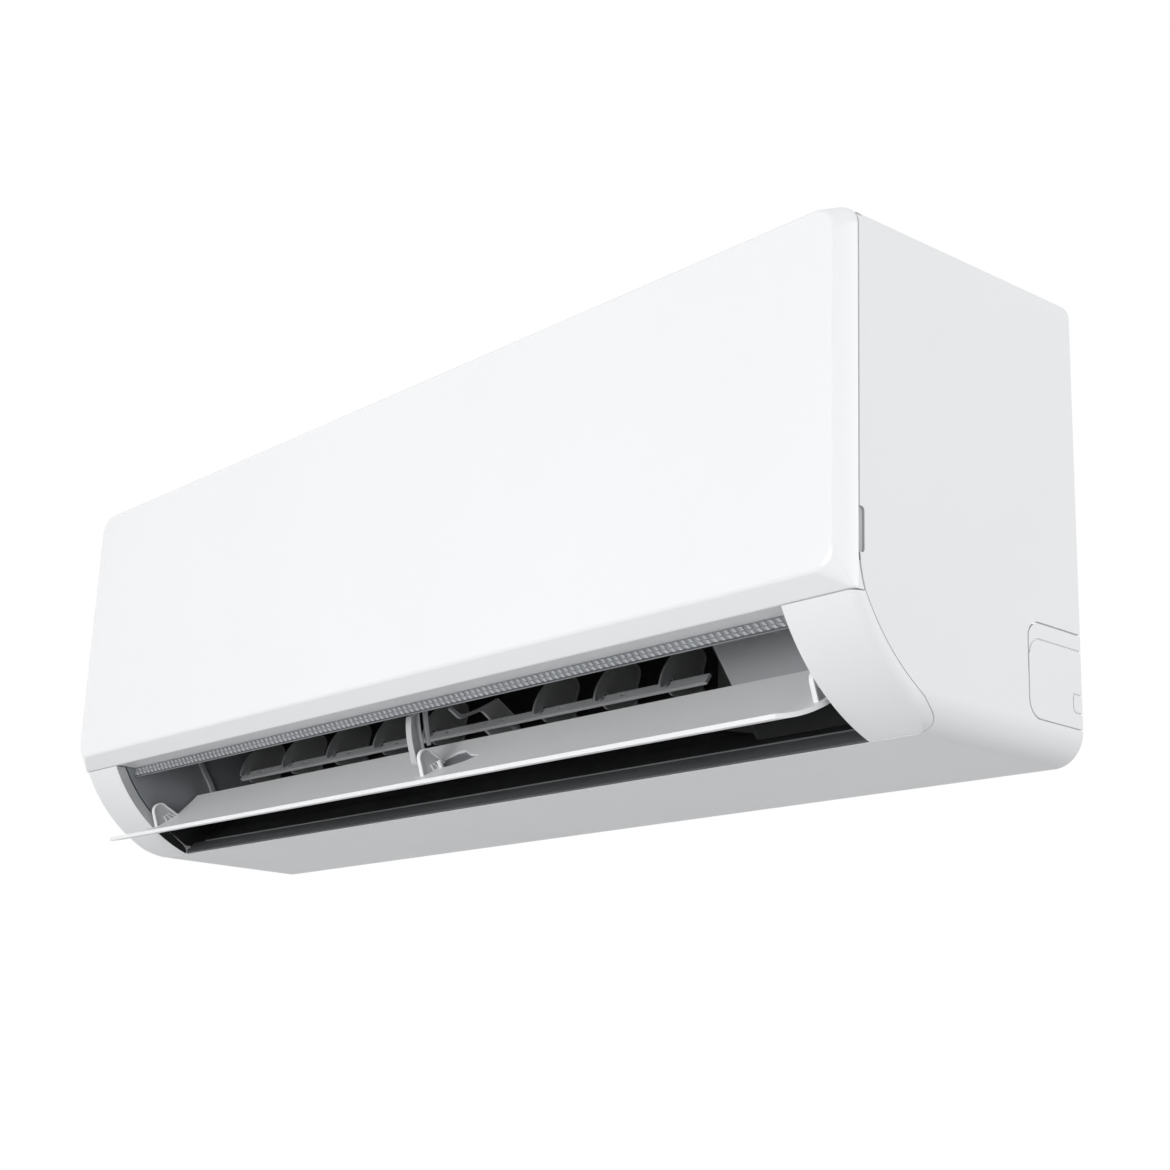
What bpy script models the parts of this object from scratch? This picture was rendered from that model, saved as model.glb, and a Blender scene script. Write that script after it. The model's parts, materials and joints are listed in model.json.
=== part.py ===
"""Wall-mounted air conditioner, indoor unit, as separate solid pieces.

Metres, +Z up, +X to the right seen from the front, +Y into the wall.
The pieces are laid out from the wall plane (y = 0) and the unit's underside (z = 0).
One empty, unit_frame, lowers them all so that the world origin is the middle of the
wall plate's back face, which is what holds the unit up.
"""
from math import atan2, cos, degrees, pi, radians, sin, sqrt

import bmesh
import bpy
from mathutils import Matrix, Vector

# Overall size
UNIT_WIDTH = 0.845
UNIT_HEIGHT = 0.289
UNIT_DEPTH = 0.209
HALF_WIDTH = UNIT_WIDTH / 2

# The section is drawn for a unit 845 x 289 x 209 mm; these fit it to another size
WIDE = UNIT_WIDTH / 0.845
TALL = UNIT_HEIGHT / 0.289
DEEP = UNIT_DEPTH / 0.209

MOUNT_HEIGHT = 0.150 * TALL   # underside of the unit to the middle of the wall plate

# Clearances
TOUCH_GAP = 0.0003            # between pieces that seat on each other
SEAM_GAP = 0.0006             # visible joint lines between outer mouldings
SHAFT_GAP = 0.0004            # radial, round turning shafts and pins
BEARING_GAP = 0.00008         # radial, round the fan's shafts
STRAP_GAP = 0.0008            # between the fan motor and the strap and cradle round it

# Outer shell
SHELL_WALL = 0.0024
CROWN_DROP = 0.004            # how much the top falls from the wall to the panel
TOP_EDGE_RADIUS = 0.013
BOTTOM_EDGE_RADIUS = 0.020
PANEL_PROUD = 0.0143          # of the panel's plate in front of the side seam
CASING_DEPTH = UNIT_DEPTH - PANEL_PROUD
CASING_BACK = 0.0005
SEAM_KNEE_HEIGHT = 0.080 * TALL      # where the side seam leaves the vertical
LIP_DEPTH = 0.1245 * DEEP            # wall to the front edge of the casing's underside
END_CAP_WIDTH = 0.0525
OUTLET_HALF = HALF_WIDTH - END_CAP_WIDTH
CURVE_RADIUS = 0.127                 # lower front curve, shared by louver, end caps and seam
END_CAP_BAND = 0.0071                # radial width of the end cap's side band
CAP_ROUNDING = 0.0068

# Front panel
PANEL_RIM_DEPTH = CASING_DEPTH + TOUCH_GAP
PANEL_BAND_DEPTH = PANEL_RIM_DEPTH + 0.0025
PANEL_BOTTOM = 0.0639 * TALL
PANEL_TOP = UNIT_HEIGHT - CROWN_DROP
PANEL_WALL = 0.0024
PLATE_HALF = HALF_WIDTH - 0.0062
PLATE_BOTTOM = PANEL_BOTTOM + 0.0098
PLATE_TOP = PANEL_TOP - 0.0035
PLATE_CORNER = 0.015
FLANGE_REACH = 0.0172         # how far back the panel's underside goes, from its band
PANEL_PIVOT_Y = -(CASING_DEPTH - 0.0027)
PANEL_PIVOT_Z = PANEL_TOP - 0.0045
PANEL_PIN_RADIUS = 0.0015
EAR_X = 0.396 * WIDE
EAR_WIDTH = 0.0035
NOTCH_BOTTOM = 0.084 * TALL
NOTCH_TOP = 0.1094 * TALL
NOTCH_DEPTH = 0.0036

# Louver
LOUVER_WALL = 0.0028
LOUVER_END_GAP = 0.003        # between the louver's ends and the end caps
LOUVER_HALF = OUTLET_HALF - LOUVER_END_GAP
LOUVER_OPEN = 72.5            # degrees from shut to the pose that is modelled
LOUVER_PIVOT_SET = 0.0122     # pivot inside the curve
LOUVER_PIN_RADIUS = 0.0020
LOUVER_SHAFT_RADIUS = 0.0025
LUG_WIDTH = 0.0035
LUG_RADIUS = 0.0045
BRACKET_LEFT = -0.0126
BRACKET_WIDTH = 0.006
MOTOR_RADIUS = 0.014          # both small stepper motors
MOTOR_THICK = 0.019
MOTOR_OFFSET = 0.008          # louver motor's body to its shaft

# Air duct
SHEET = 0.0024
DUCT_RIGHT = 0.2185 * WIDE    # duct side of the partition beside the fan motor
CLOSURE_DEPTH = 0.1125 * DEEP    # wall to the front of the wall that shuts the right of the outlet
CLOSURE_CORNER = 0.010
BACK_WALL_Y = -0.0128 * DEEP
BACK_HALF = HALF_WIDTH - 0.0085
FAN_Y = -0.098 * DEEP
FAN_Z = 0.142 * TALL
FAN_RADIUS = 0.046
FAN_LEFT = -OUTLET_HALF + 0.0045
FAN_RIGHT = DUCT_RIGHT - 0.0125
FAN_BLADES = 20
FAN_SECTIONS = 2
FAN_BLADE_THICK = 0.0014
FAN_BLADE_DEPTH = 0.0105
FAN_DISC = 0.0025
FAN_SHAFT_RADIUS = 0.004
BEARING_RADIUS = 0.013

# Vanes, on the duct floor
VANE_COUNT = 9                # places along the link; the crank takes one
CRANK_PLACE = 5
VANE_PITCH = 0.0636 * WIDE
VANE_FIRST_X = DUCT_RIGHT - 0.0465 - VANE_PITCH * (VANE_COUNT - 1)
VANE_THICK = 0.0018
VANE_PIN_RADIUS = 0.0019
CRANK_SHAFT_RADIUS = 0.0026
LINK_REACH = 0.016            # from a vane's pivot to the link's pin
LINK_HEIGHT = 0.0244          # of the link above the floor
LINK_WIDTH = 0.006
LINK_THICK = 0.0024
LINK_PIN_RADIUS = 0.0013
LINK_LEFT_END = 0.0085        # of the link beyond its first pin
LINK_END_MARGIN = 0.0100      # from the link to the partition; it travels 9.2 mm

# Coil
COIL_THICK = 0.024
COIL_LEFT = -OUTLET_HALF + 0.018
COIL_RIGHT = DUCT_RIGHT - 0.0245
COIL_PLATE = 0.0015

# Filters and the intake grille they lie on
FILTER_THICK = 0.002
FILTER_BEND = 0.008
FILTER_DEPTH = CASING_DEPTH - 0.0074
FILTER_BOTTOM = 0.098 * TALL
FILTER_HALF = EAR_X - 0.008
FILTER_MIDDLE = 0.003
TRAY_HALF = FILTER_HALF + 0.0025
TRAY_BACK = -0.062 * DEEP
TRAY_FRONT = -(FILTER_DEPTH - FILTER_BEND - 0.0005)
TRAY_WALL = 0.0024
GRILLE_SLOTS = 24
GRILLE_BAR = 0.0064

# Electrics
BOX_RIGHT = HALF_WIDTH - 0.0105
BOX_LEFT = BOX_RIGHT - 0.100
BOX_BOTTOM = 0.121 * TALL
BOX_TOP = 0.262 * TALL
BOX_DEPTH = CASING_DEPTH - 0.0147
BOX_WALL = 0.002
BOARD_THICK = 0.0016
BUTTON_RADIUS = 0.004
BUTTON_X = BOX_RIGHT - 0.020
BUTTON_Z = BOX_BOTTOM + 0.016
MOTOR_BODY_RADIUS = 0.042
MOTOR_LEFT = DUCT_RIGHT + 0.0175
MOTOR_RIGHT = MOTOR_LEFT + 0.060
CLAMP_LEFT = MOTOR_LEFT + 0.018
CLAMP_WIDTH = 0.026
CLAMP_SCREW_RADIUS = 0.0015
CLAMP_SCREW_REACH = MOTOR_BODY_RADIUS + 0.0078
DISPLAY_WIDTH = 0.066
DISPLAY_HEIGHT = 0.060
DISPLAY_RIGHT = PLATE_HALF - 0.0503
DISPLAY_BOTTOM = 0.152 * TALL

# Pipes
GAS_RADIUS = 0.0048
LIQUID_RADIUS = 0.0032
PIPE_X = DUCT_RIGHT + 0.009
PIPE_FRONT = -0.165 * DEEP
GAS_Y = -0.024 * DEEP
GAS_Z = 0.045 * TALL
LIQUID_Y = -0.038 * DEEP
LIQUID_Z = 0.026 * TALL
PIPE_CLAMP_X = 0.140 * WIDE
PIPE_CLAMP_WIDTH = 0.012

# Wall plate
WALL_PLATE_HALF = 0.310 * WIDE
WALL_PLATE_BOTTOM = 0.040 * TALL
WALL_PLATE_TOP = 0.262 * TALL
WALL_PLATE_THICK = 0.0012
HOOK_X = 0.20 * WIDE
HOOK_HALF = 0.013
HOOK_Z = 0.2412 * TALL
HOOK_RISE = 0.0088

# Pipe covers in the sides
COVER_BOTTOM = 0.0205
COVER_TOP = 0.076 * TALL
COVER_DEPTH = 0.050 * DEEP
COVER_CORNER = 0.010

MATERIALS = {
    "white_shell": ((0.88, 0.89, 0.90, 1), 0.32, 0.0),
    "white_panel": ((0.93, 0.93, 0.94, 1), 0.25, 0.0),
    "light_grey": ((0.62, 0.63, 0.65, 1), 0.5, 0.0),
    "mid_grey": ((0.30, 0.31, 0.33, 1), 0.55, 0.0),
    "charcoal": ((0.045, 0.047, 0.05, 1), 0.5, 0.0),
    "galvanised": ((0.62, 0.63, 0.64, 1), 0.35, 1.0),
    "aluminium": ((0.80, 0.81, 0.82, 1), 0.4, 1.0),
    "copper": ((0.80, 0.42, 0.26, 1), 0.3, 1.0),
    "brass": ((0.78, 0.62, 0.30, 1), 0.3, 1.0),
    "steel": ((0.66, 0.67, 0.69, 1), 0.3, 1.0),
    "rubber": ((0.03, 0.03, 0.03, 1), 0.8, 0.0),
    "board_green": ((0.05, 0.22, 0.10, 1), 0.5, 0.0),
    "filter_mesh": ((0.20, 0.22, 0.24, 1), 0.8, 0.0),
}

for leftover in list(bpy.data.objects):
    bpy.data.objects.remove(leftover, do_unlink=True)

PARTS = bpy.data.collections.new("air_conditioner")
CUTTERS = bpy.data.collections.new("cutters")
bpy.context.scene.collection.children.link(PARTS)
bpy.context.scene.collection.children.link(CUTTERS)

UNIT_FRAME = bpy.data.objects.new("unit_frame", None)
UNIT_FRAME.location = (0, 0, -MOUNT_HEIGHT)
PARTS.objects.link(UNIT_FRAME)


def material(name):
    found = bpy.data.materials.get(name)
    if found:
        return found
    colour, roughness, metallic = MATERIALS[name]
    made = bpy.data.materials.new(name)
    made.use_nodes = True
    shader = made.node_tree.nodes["Principled BSDF"]
    shader.inputs["Base Color"].default_value = colour
    shader.inputs["Roughness"].default_value = roughness
    shader.inputs["Metallic"].default_value = metallic
    made.diffuse_color = colour
    return made


# Placing objects

def place(name, mesh, finish=None):
    """A part when it has a finish, otherwise a cutter or a shape to be joined."""
    obj = bpy.data.objects.new(name, mesh)
    obj.parent = UNIT_FRAME
    if finish:
        PARTS.objects.link(obj)
        mesh.materials.append(material(finish))
    else:
        CUTTERS.objects.link(obj)
        obj.hide_render = True
        obj.display_type = "WIRE"
    return obj


def cut(target, cutter):
    step = target.modifiers.new("cut", "BOOLEAN")
    step.operation = "DIFFERENCE"
    step.object = cutter
    return target


def join(target, piece):
    step = target.modifiers.new("join", "BOOLEAN")
    step.operation = "UNION"
    step.object = piece
    return target


def keep_inside(target, region):
    step = target.modifiers.new("trim", "BOOLEAN")
    step.operation = "INTERSECT"
    step.object = region
    return target


def freeze(obj):
    """Replaces the object's mesh by the one its modifiers make."""
    graph = bpy.context.evaluated_depsgraph_get()
    mesh = bpy.data.meshes.new_from_object(obj.evaluated_get(graph))
    obj.modifiers.clear()
    obj.data = mesh
    return obj


def set_origin(obj, point):
    obj.data.transform(Matrix.Translation(-Vector(point)))
    obj.location = point
    return obj


# Shapes

def box(name, low, high, finish=None):
    mesh = bpy.data.meshes.new(name)
    bm = bmesh.new()
    bmesh.ops.create_cube(bm, size=1.0)
    size = [h - l for l, h in zip(low, high)]
    middle = [(h + l) / 2 for l, h in zip(low, high)]
    bmesh.ops.transform(bm, matrix=Matrix.Translation(middle) @ Matrix.Diagonal((*size, 1)), verts=bm.verts)
    bm.to_mesh(mesh)
    bm.free()
    return place(name, mesh, finish)


def rod(name, start, end, radius, finish=None, sides=24, end_radius=None):
    start, end = Vector(start), Vector(end)
    run = end - start
    mesh = bpy.data.meshes.new(name)
    bm = bmesh.new()
    bmesh.ops.create_cone(bm, cap_ends=True, segments=sides, radius1=radius,
                          radius2=radius if end_radius is None else end_radius, depth=run.length)
    turn = Vector((0, 0, 1)).rotation_difference(run).to_matrix().to_4x4()
    bmesh.ops.transform(bm, matrix=Matrix.Translation((start + end) / 2) @ turn, verts=bm.verts)
    bm.to_mesh(mesh)
    bm.free()
    return place(name, mesh, finish)


def flat(name, outlines, along, start, end, finish=None):
    """Flat outlines filled and given a thickness along the x, y or z axis."""
    curve = bpy.data.curves.new(name, "CURVE")
    curve.dimensions = "2D"
    curve.fill_mode = "BOTH"
    curve.extrude = (end - start) / 2
    for outline in outlines:
        spline = curve.splines.new("POLY")
        spline.points.add(len(outline) - 1)
        for point, (u, v) in zip(spline.points, outline):
            point.co = (u, v, 0, 1)
        spline.use_cyclic_u = True
    guide = bpy.data.objects.new(name + "_outline", curve)
    bpy.context.scene.collection.objects.link(guide)
    graph = bpy.context.evaluated_depsgraph_get()
    mesh = bpy.data.meshes.new_from_object(guide.evaluated_get(graph))
    bpy.data.objects.remove(guide, do_unlink=True)
    axes = {"x": Matrix(((0, 0, 1), (1, 0, 0), (0, 1, 0))),
            "y": Matrix(((1, 0, 0), (0, 0, -1), (0, 1, 0))),
            "z": Matrix.Identity(3)}[along]
    middle = (start + end) / 2
    shift = {"x": (middle, 0, 0), "y": (0, middle, 0), "z": (0, 0, middle)}[along]
    mesh.transform(Matrix.Translation(shift) @ axes.to_4x4())
    bm = bmesh.new()
    bm.from_mesh(mesh)
    bmesh.ops.remove_doubles(bm, verts=bm.verts, dist=0.00001)
    bmesh.ops.recalc_face_normals(bm, faces=bm.faces)
    bm.to_mesh(mesh)
    bm.free()
    return place(name, mesh, finish)


def bent_sheet(name, line, start, end, thickness, finish=None, along="x", side=0):
    """A sheet that follows a bent line and runs along an axis; side -1, 0 or 1 of the line."""
    mesh = bpy.data.meshes.new(name)
    bm = bmesh.new()

    def spot(u, v, run):
        return (run, u, v) if along == "x" else (u, v, run)

    row = [bm.verts.new(spot(u, v, start)) for u, v in line]
    edges = [bm.edges.new(pair) for pair in zip(row, row[1:])]
    made = bmesh.ops.extrude_edge_only(bm, edges=edges)["geom"]
    shift = spot(0, 0, end - start)
    bmesh.ops.translate(bm, vec=shift, verts=[g for g in made if isinstance(g, bmesh.types.BMVert)])
    bm.to_mesh(mesh)
    bm.free()
    obj = place(name, mesh, finish)
    wall = obj.modifiers.new("wall", "SOLIDIFY")
    wall.thickness = thickness
    wall.offset = side
    wall.use_even_offset = True
    return obj


def loft(name, sections, finish=None):
    """Skins sections that have the same number of points, and closes both ends."""
    mesh = bpy.data.meshes.new(name)
    bm = bmesh.new()
    rings = [[bm.verts.new(p) for p in section] for section in sections]
    for low, high in zip(rings, rings[1:]):
        for i in range(len(low)):
            j = (i + 1) % len(low)
            bm.faces.new((low[i], low[j], high[j], high[i]))
    bm.faces.new(rings[0])
    bm.faces.new(rings[-1])
    bmesh.ops.recalc_face_normals(bm, faces=bm.faces)
    bm.to_mesh(mesh)
    bm.free()
    return place(name, mesh, finish)


def tube_along(name, points, radius, finish):
    """A round pipe through the points, with its corners swept by arcs."""
    curve = bpy.data.curves.new(name, "CURVE")
    curve.dimensions = "3D"
    curve.bevel_depth = radius
    curve.bevel_resolution = 2
    curve.use_fill_caps = True
    spline = curve.splines.new("POLY")
    spline.points.add(len(points) - 1)
    for point, place_at in zip(spline.points, points):
        point.co = (*place_at, 1)
    guide = bpy.data.objects.new(name + "_path", curve)
    bpy.context.scene.collection.objects.link(guide)
    graph = bpy.context.evaluated_depsgraph_get()
    mesh = bpy.data.meshes.new_from_object(guide.evaluated_get(graph))
    bpy.data.objects.remove(guide, do_unlink=True)
    bm = bmesh.new()
    bm.from_mesh(mesh)
    bmesh.ops.remove_doubles(bm, verts=bm.verts, dist=0.00001)
    bmesh.ops.recalc_face_normals(bm, faces=bm.faces)
    bm.to_mesh(mesh)
    bm.free()
    return place(name, mesh, finish)


# Outlines

def arc(centre, radius, start, end, steps):
    """Points on an arc, in degrees, both ends included."""
    turn = [radians(start + (end - start) * i / steps) for i in range(steps + 1)]
    return [(centre[0] + radius * cos(t), centre[1] + radius * sin(t)) for t in turn]


def rounded(left, right, bottom, top, low_radius, top_radius, steps=5):
    """A rectangle with rounded corners, anticlockwise from the lower left corner."""
    return (arc((left + low_radius, bottom + low_radius), low_radius, 180, 270, steps)
            + arc((right - low_radius, bottom + low_radius), low_radius, 270, 360, steps)
            + arc((right - top_radius, top - top_radius), top_radius, 0, 90, steps)
            + arc((left + top_radius, top - top_radius), top_radius, 90, 180, steps))


def swept_corners(points, radius, steps=4):
    """Replaces each inner point of a 3-D path by an arc of the given radius."""
    path = [Vector(points[0])]
    for before, corner, after in zip(points, points[1:], points[2:]):
        corner = Vector(corner)
        back = (Vector(before) - corner).normalized()
        ahead = (Vector(after) - corner).normalized()
        half = back.angle(ahead) / 2
        reach = radius / sin(half)
        centre = corner + (back + ahead).normalized() * reach
        first = corner + back * (radius * cos(half) / sin(half)) - centre
        last = corner + ahead * (radius * cos(half) / sin(half)) - centre
        for i in range(steps + 1):
            path.append(centre + first.slerp(last, i / steps).normalized() * radius)
    path.append(Vector(points[-1]))
    return path


def smooth_line(points, steps=3):
    """A smooth line through the points, end points kept."""
    ends = [points[0]] + list(points) + [points[-1]]
    line = []
    for a, b, c, d in zip(ends, ends[1:], ends[2:], ends[3:]):
        for i in range(steps):
            t = i / steps
            line.append(tuple(0.5 * (2 * q + (r - p) * t + (2 * p - 5 * q + 4 * r - s) * t * t
                                     + (3 * q - p - 3 * r + s) * t ** 3)
                              for p, q, r, s in zip(a, b, c, d)))
    line.append(points[-1])
    return line


def section(*points):
    """Points (y, z) drawn for a unit 289 mm high and 209 mm deep, fitted to this one."""
    return [(y * DEEP, z * TALL) for y, z in points]


def angle_about(centre, point):
    return degrees(atan2(point[1] - centre[1], point[0] - centre[0])) % 360


def on_curve(radius, angle):
    """A point at this radius and angle about the lower front curve's centre."""
    return (CURVE_CENTRE[0] + radius * cos(radians(angle)), CURVE_CENTRE[1] + radius * sin(radians(angle)))


# The lower front curve runs from the panel's lower edge to the front of the underside
CURVE_TOP, CURVE_FOOT = [Vector(point) for point in section((-0.198, 0.0638), (-0.127, 0.0005))]
CHORD = CURVE_FOOT - CURVE_TOP
CURVE_RISE = sqrt(CURVE_RADIUS ** 2 - CHORD.length_squared / 4)
CURVE_CENTRE = tuple((CURVE_TOP + CURVE_FOOT) / 2 + Vector((-CHORD.y, CHORD.x)).normalized() * CURVE_RISE)
CURVE_START = angle_about(CURVE_CENTRE, CURVE_TOP)
CURVE_END = angle_about(CURVE_CENTRE, CURVE_FOOT)
LOUVER_START = CURVE_START + 1.0
LOUVER_END = CURVE_END - 1.3
LOUVER_PIVOT = on_curve(CURVE_RADIUS - LOUVER_PIVOT_SET, CURVE_START + 24.6)
FAN_CENTRE = (FAN_Y, FAN_Z)
SEAM_RADIUS = CURVE_RADIUS - END_CAP_BAND - SEAM_GAP

# The side seam, from the underside up to the top, as the casing's front edge
SEAM_LINE = ([(-LIP_DEPTH, 0.0002)] + section((-0.1343, 0.0058))
             + arc(CURVE_CENTRE, SEAM_RADIUS, CURVE_END - 8.3, CURVE_START + 1.7, 8)
             + [(-CASING_DEPTH, SEAM_KNEE_HEIGHT), (-CASING_DEPTH, UNIT_HEIGHT + 0.02)])


def shifted(line, distance):
    """The line moved sideways by a distance, to the left of its direction."""
    moved = []
    for i, (u, v) in enumerate(line):
        a = line[max(i - 1, 0)]
        b = line[min(i + 1, len(line) - 1)]
        run = sqrt((b[0] - a[0]) ** 2 + (b[1] - a[1]) ** 2)
        moved.append((u - (b[1] - a[1]) / run * distance, v + (b[0] - a[0]) / run * distance))
    return moved


# Outer casing: a rounded tube round the works, cut along the side seam

def shell_outline(inset, left=-HALF_WIDTH, right=HALF_WIDTH):
    return rounded(left + inset, right - inset, inset, UNIT_HEIGHT - inset,
                   BOTTOM_EDGE_RADIUS - inset, TOP_EDGE_RADIUS - inset)


def slope_crown(obj):
    """Lowers the top towards the front panel."""
    for vertex in obj.data.vertices:
        if vertex.co.z > UNIT_HEIGHT / 2:
            vertex.co.z += CROWN_DROP * (vertex.co.y + CASING_BACK) / PANEL_RIM_DEPTH
    return obj


def pipe_cover_outline(grow):
    corner = COVER_CORNER + grow
    low, high = COVER_BOTTOM - grow, COVER_TOP + grow
    front = -COVER_DEPTH - grow
    return ([(0.002, low)] + [(0.002, high)]
            + arc((front + corner, high - corner), corner, 90, 180, 4)
            + arc((front + corner, low + corner), corner, 180, 270, 4))


def make_front_casing():
    outlines = [shell_outline(0), shell_outline(SHELL_WALL)]
    casing = slope_crown(flat("front_casing", outlines, "y", -UNIT_DEPTH, -CASING_BACK, "white_shell"))
    ahead = -UNIT_DEPTH * 1.5
    above = UNIT_HEIGHT + 0.02
    seam = flat("casing_seam_cutter", [SEAM_LINE + [(ahead, above), (ahead, -0.02), (-LIP_DEPTH, -0.02)]],
                "x", -UNIT_WIDTH, UNIT_WIDTH)
    cut(casing, seam)
    # Between the end caps the underside ends in a straight edge
    cut(casing, box("lip_cutter", (-OUTLET_HALF, ahead, -0.01), (OUTLET_HALF, -LIP_DEPTH, 0.02)))
    # Room for the panel's top rim as it swings up, and the opening that holds the intake grille
    cut(casing, box("panel_swing_cutter", (-UNIT_WIDTH, ahead, PANEL_PIVOT_Z - 0.0015),
                    (UNIT_WIDTH, PANEL_PIVOT_Y + 0.0032, above)))
    opening_half = TRAY_HALF + TRAY_WALL + TOUCH_GAP
    cut(casing, box("intake_cutter", (-opening_half, ahead, UNIT_HEIGHT - 0.019),
                    (opening_half, TRAY_BACK + TRAY_WALL + TOUCH_GAP, above)))
    # Panel hinge lugs under the top, finger notches in the side seam, pipe cover openings
    for side in (-1, 1):
        lug_x = sorted((side * (EAR_X + EAR_WIDTH + 0.0005), side * (EAR_X + EAR_WIDTH + 0.004)))
        lug_back = PANEL_PIVOT_Y + 0.014
        lug_line = (arc((PANEL_PIVOT_Y, PANEL_PIVOT_Z), 0.003, 90, 270, 6)
                    + [(lug_back, PANEL_PIVOT_Z - 0.003), (lug_back, PANEL_TOP - 0.0012),
                       (PANEL_PIVOT_Y + 0.004, PANEL_TOP - 0.0014)])
        join(casing, flat("hinge_lug", [lug_line], "x", *lug_x))
        cut(casing, rod("hinge_hole", (lug_x[0] - 0.001, PANEL_PIVOT_Y, PANEL_PIVOT_Z),
                        (lug_x[1] + 0.001, PANEL_PIVOT_Y, PANEL_PIVOT_Z), PANEL_PIN_RADIUS + SHAFT_GAP, sides=12))
        notch = sorted((side * (HALF_WIDTH - 0.004), side * (HALF_WIDTH + 0.004)))
        cut(casing, box("notch_cutter", (notch[0], ahead, NOTCH_BOTTOM),
                        (notch[1], -CASING_DEPTH + NOTCH_DEPTH, NOTCH_TOP)))
        cut(casing, flat("pipe_opening", [pipe_cover_outline(SEAM_GAP)], "x",
                         *sorted((side * (HALF_WIDTH - 0.006), side * (HALF_WIDTH + 0.004)))))
    return casing


def make_intake_grille():
    """Slotted tray that closes the top opening; the filters lie on it."""
    line = [(TRAY_BACK + TRAY_WALL / 2, PANEL_TOP + 0.0010), (TRAY_BACK + TRAY_WALL / 2, PANEL_TOP - 0.0033),
            (TRAY_FRONT, PANEL_TOP - 0.0061)]
    grille = bent_sheet("intake_grille", line, -TRAY_HALF - TRAY_WALL, TRAY_HALF + TRAY_WALL, TRAY_WALL,
                        "white_shell")
    for side in (-1, 1):
        wall = sorted((side * TRAY_HALF, side * (TRAY_HALF + TRAY_WALL)))
        join(grille, box("tray_side", (wall[0], TRAY_FRONT, PANEL_TOP - 0.0066),
                         (wall[1], TRAY_BACK, PANEL_TOP - 0.0004)))
    pitch = (2 * TRAY_HALF - GRILLE_BAR) / GRILLE_SLOTS
    left = -TRAY_HALF + GRILLE_BAR
    middle = (TRAY_FRONT + TRAY_BACK) / 2
    for front, back in ((TRAY_FRONT + 0.010, middle - GRILLE_BAR / 2), (middle + GRILLE_BAR / 2, TRAY_BACK - 0.006)):
        slot = box("grille_slot", (left, front, PANEL_TOP - 0.02), (left + pitch - GRILLE_BAR, back, PANEL_TOP + 0.02))
        repeat = slot.modifiers.new("row", "ARRAY")
        repeat.count = GRILLE_SLOTS
        repeat.use_relative_offset = False
        repeat.use_constant_offset = True
        repeat.constant_offset_displace = (pitch, 0, 0)
        cut(grille, slot)
    return grille


def make_pipe_cover(name, side):
    outer = side * HALF_WIDTH
    inner = side * (HALF_WIDTH - SHELL_WALL)
    cover = flat(name, [[(min(u, -CASING_BACK), v) for u, v in pipe_cover_outline(0)]], "x",
                 *sorted((outer, inner)), "white_shell")
    # A shallow line below its top edge and a small slot at the wall
    groove = sorted((side * (HALF_WIDTH - 0.0006), side * (HALF_WIDTH + 0.001)))
    cut(cover, box("cover_groove", (groove[0], -COVER_DEPTH + 0.002, COVER_TOP - 0.0095), (groove[1], 0.002, COVER_TOP - 0.0088)))
    slot = sorted((side * (HALF_WIDTH - 0.0012), side * (HALF_WIDTH + 0.001)))
    cut(cover, box("cover_slot", (slot[0], -0.009, COVER_BOTTOM + 0.0085), (slot[1], 0.002, COVER_BOTTOM + 0.0175)))
    return cover


# End caps on each side of the outlet

def make_end_cap(name, side):
    inner, outer = OUTLET_HALF, HALF_WIDTH
    cap = rod(name, (side * inner, *CURVE_CENTRE), (side * outer, *CURVE_CENTRE), CURVE_RADIUS,
              "white_shell", sides=96)
    weights = cap.data.attributes.new("bevel_weight_edge", "FLOAT", "EDGE")
    for edge in cap.data.edges:
        ends = [cap.data.vertices[i].co for i in edge.vertices]
        weights.data[edge.index].value = float(all(abs(abs(p.x) - outer) < 0.0001 for p in ends))
    rounding = cap.modifiers.new("rounding", "BEVEL")
    rounding.width = CAP_ROUNDING
    rounding.segments = 4
    rounding.limit_method = "WEIGHT"
    behind = shifted(SEAM_LINE, SEAM_GAP)
    ahead = -UNIT_DEPTH * 1.5
    keep = ([(ahead, -0.02), (behind[0][0], -0.02)] + behind[:-2]
            + [(behind[-3][0] - 0.0006, PANEL_BOTTOM - SEAM_GAP), (ahead, PANEL_BOTTOM - SEAM_GAP)])
    keep_inside(cap, flat(name + "_front_region", [keep], "x", -UNIT_WIDTH, UNIT_WIDTH))
    keep_inside(cap, flat(name + "_envelope", [shell_outline(0)], "y", ahead, 0.0))
    void = rod(name + "_void", (side * (inner + SHELL_WALL), *CURVE_CENTRE),
               (side * (outer - SHELL_WALL), *CURVE_CENTRE), CURVE_RADIUS - SHELL_WALL, sides=96)
    keep_inside(void, flat(name + "_void_region", [shell_outline(SHELL_WALL)], "y", ahead, 0.0))
    cut(cap, void)
    return cap


# Front panel

def panel_section(depth, half, bottom, top, low_radius, top_radius, inset=0.0):
    outline = rounded(-half + inset, half - inset, bottom + inset, top - inset,
                      max(low_radius - inset, 0.0003), max(top_radius - inset, 0.0003))
    return [(x, -depth, z) for x, z in outline]


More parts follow.
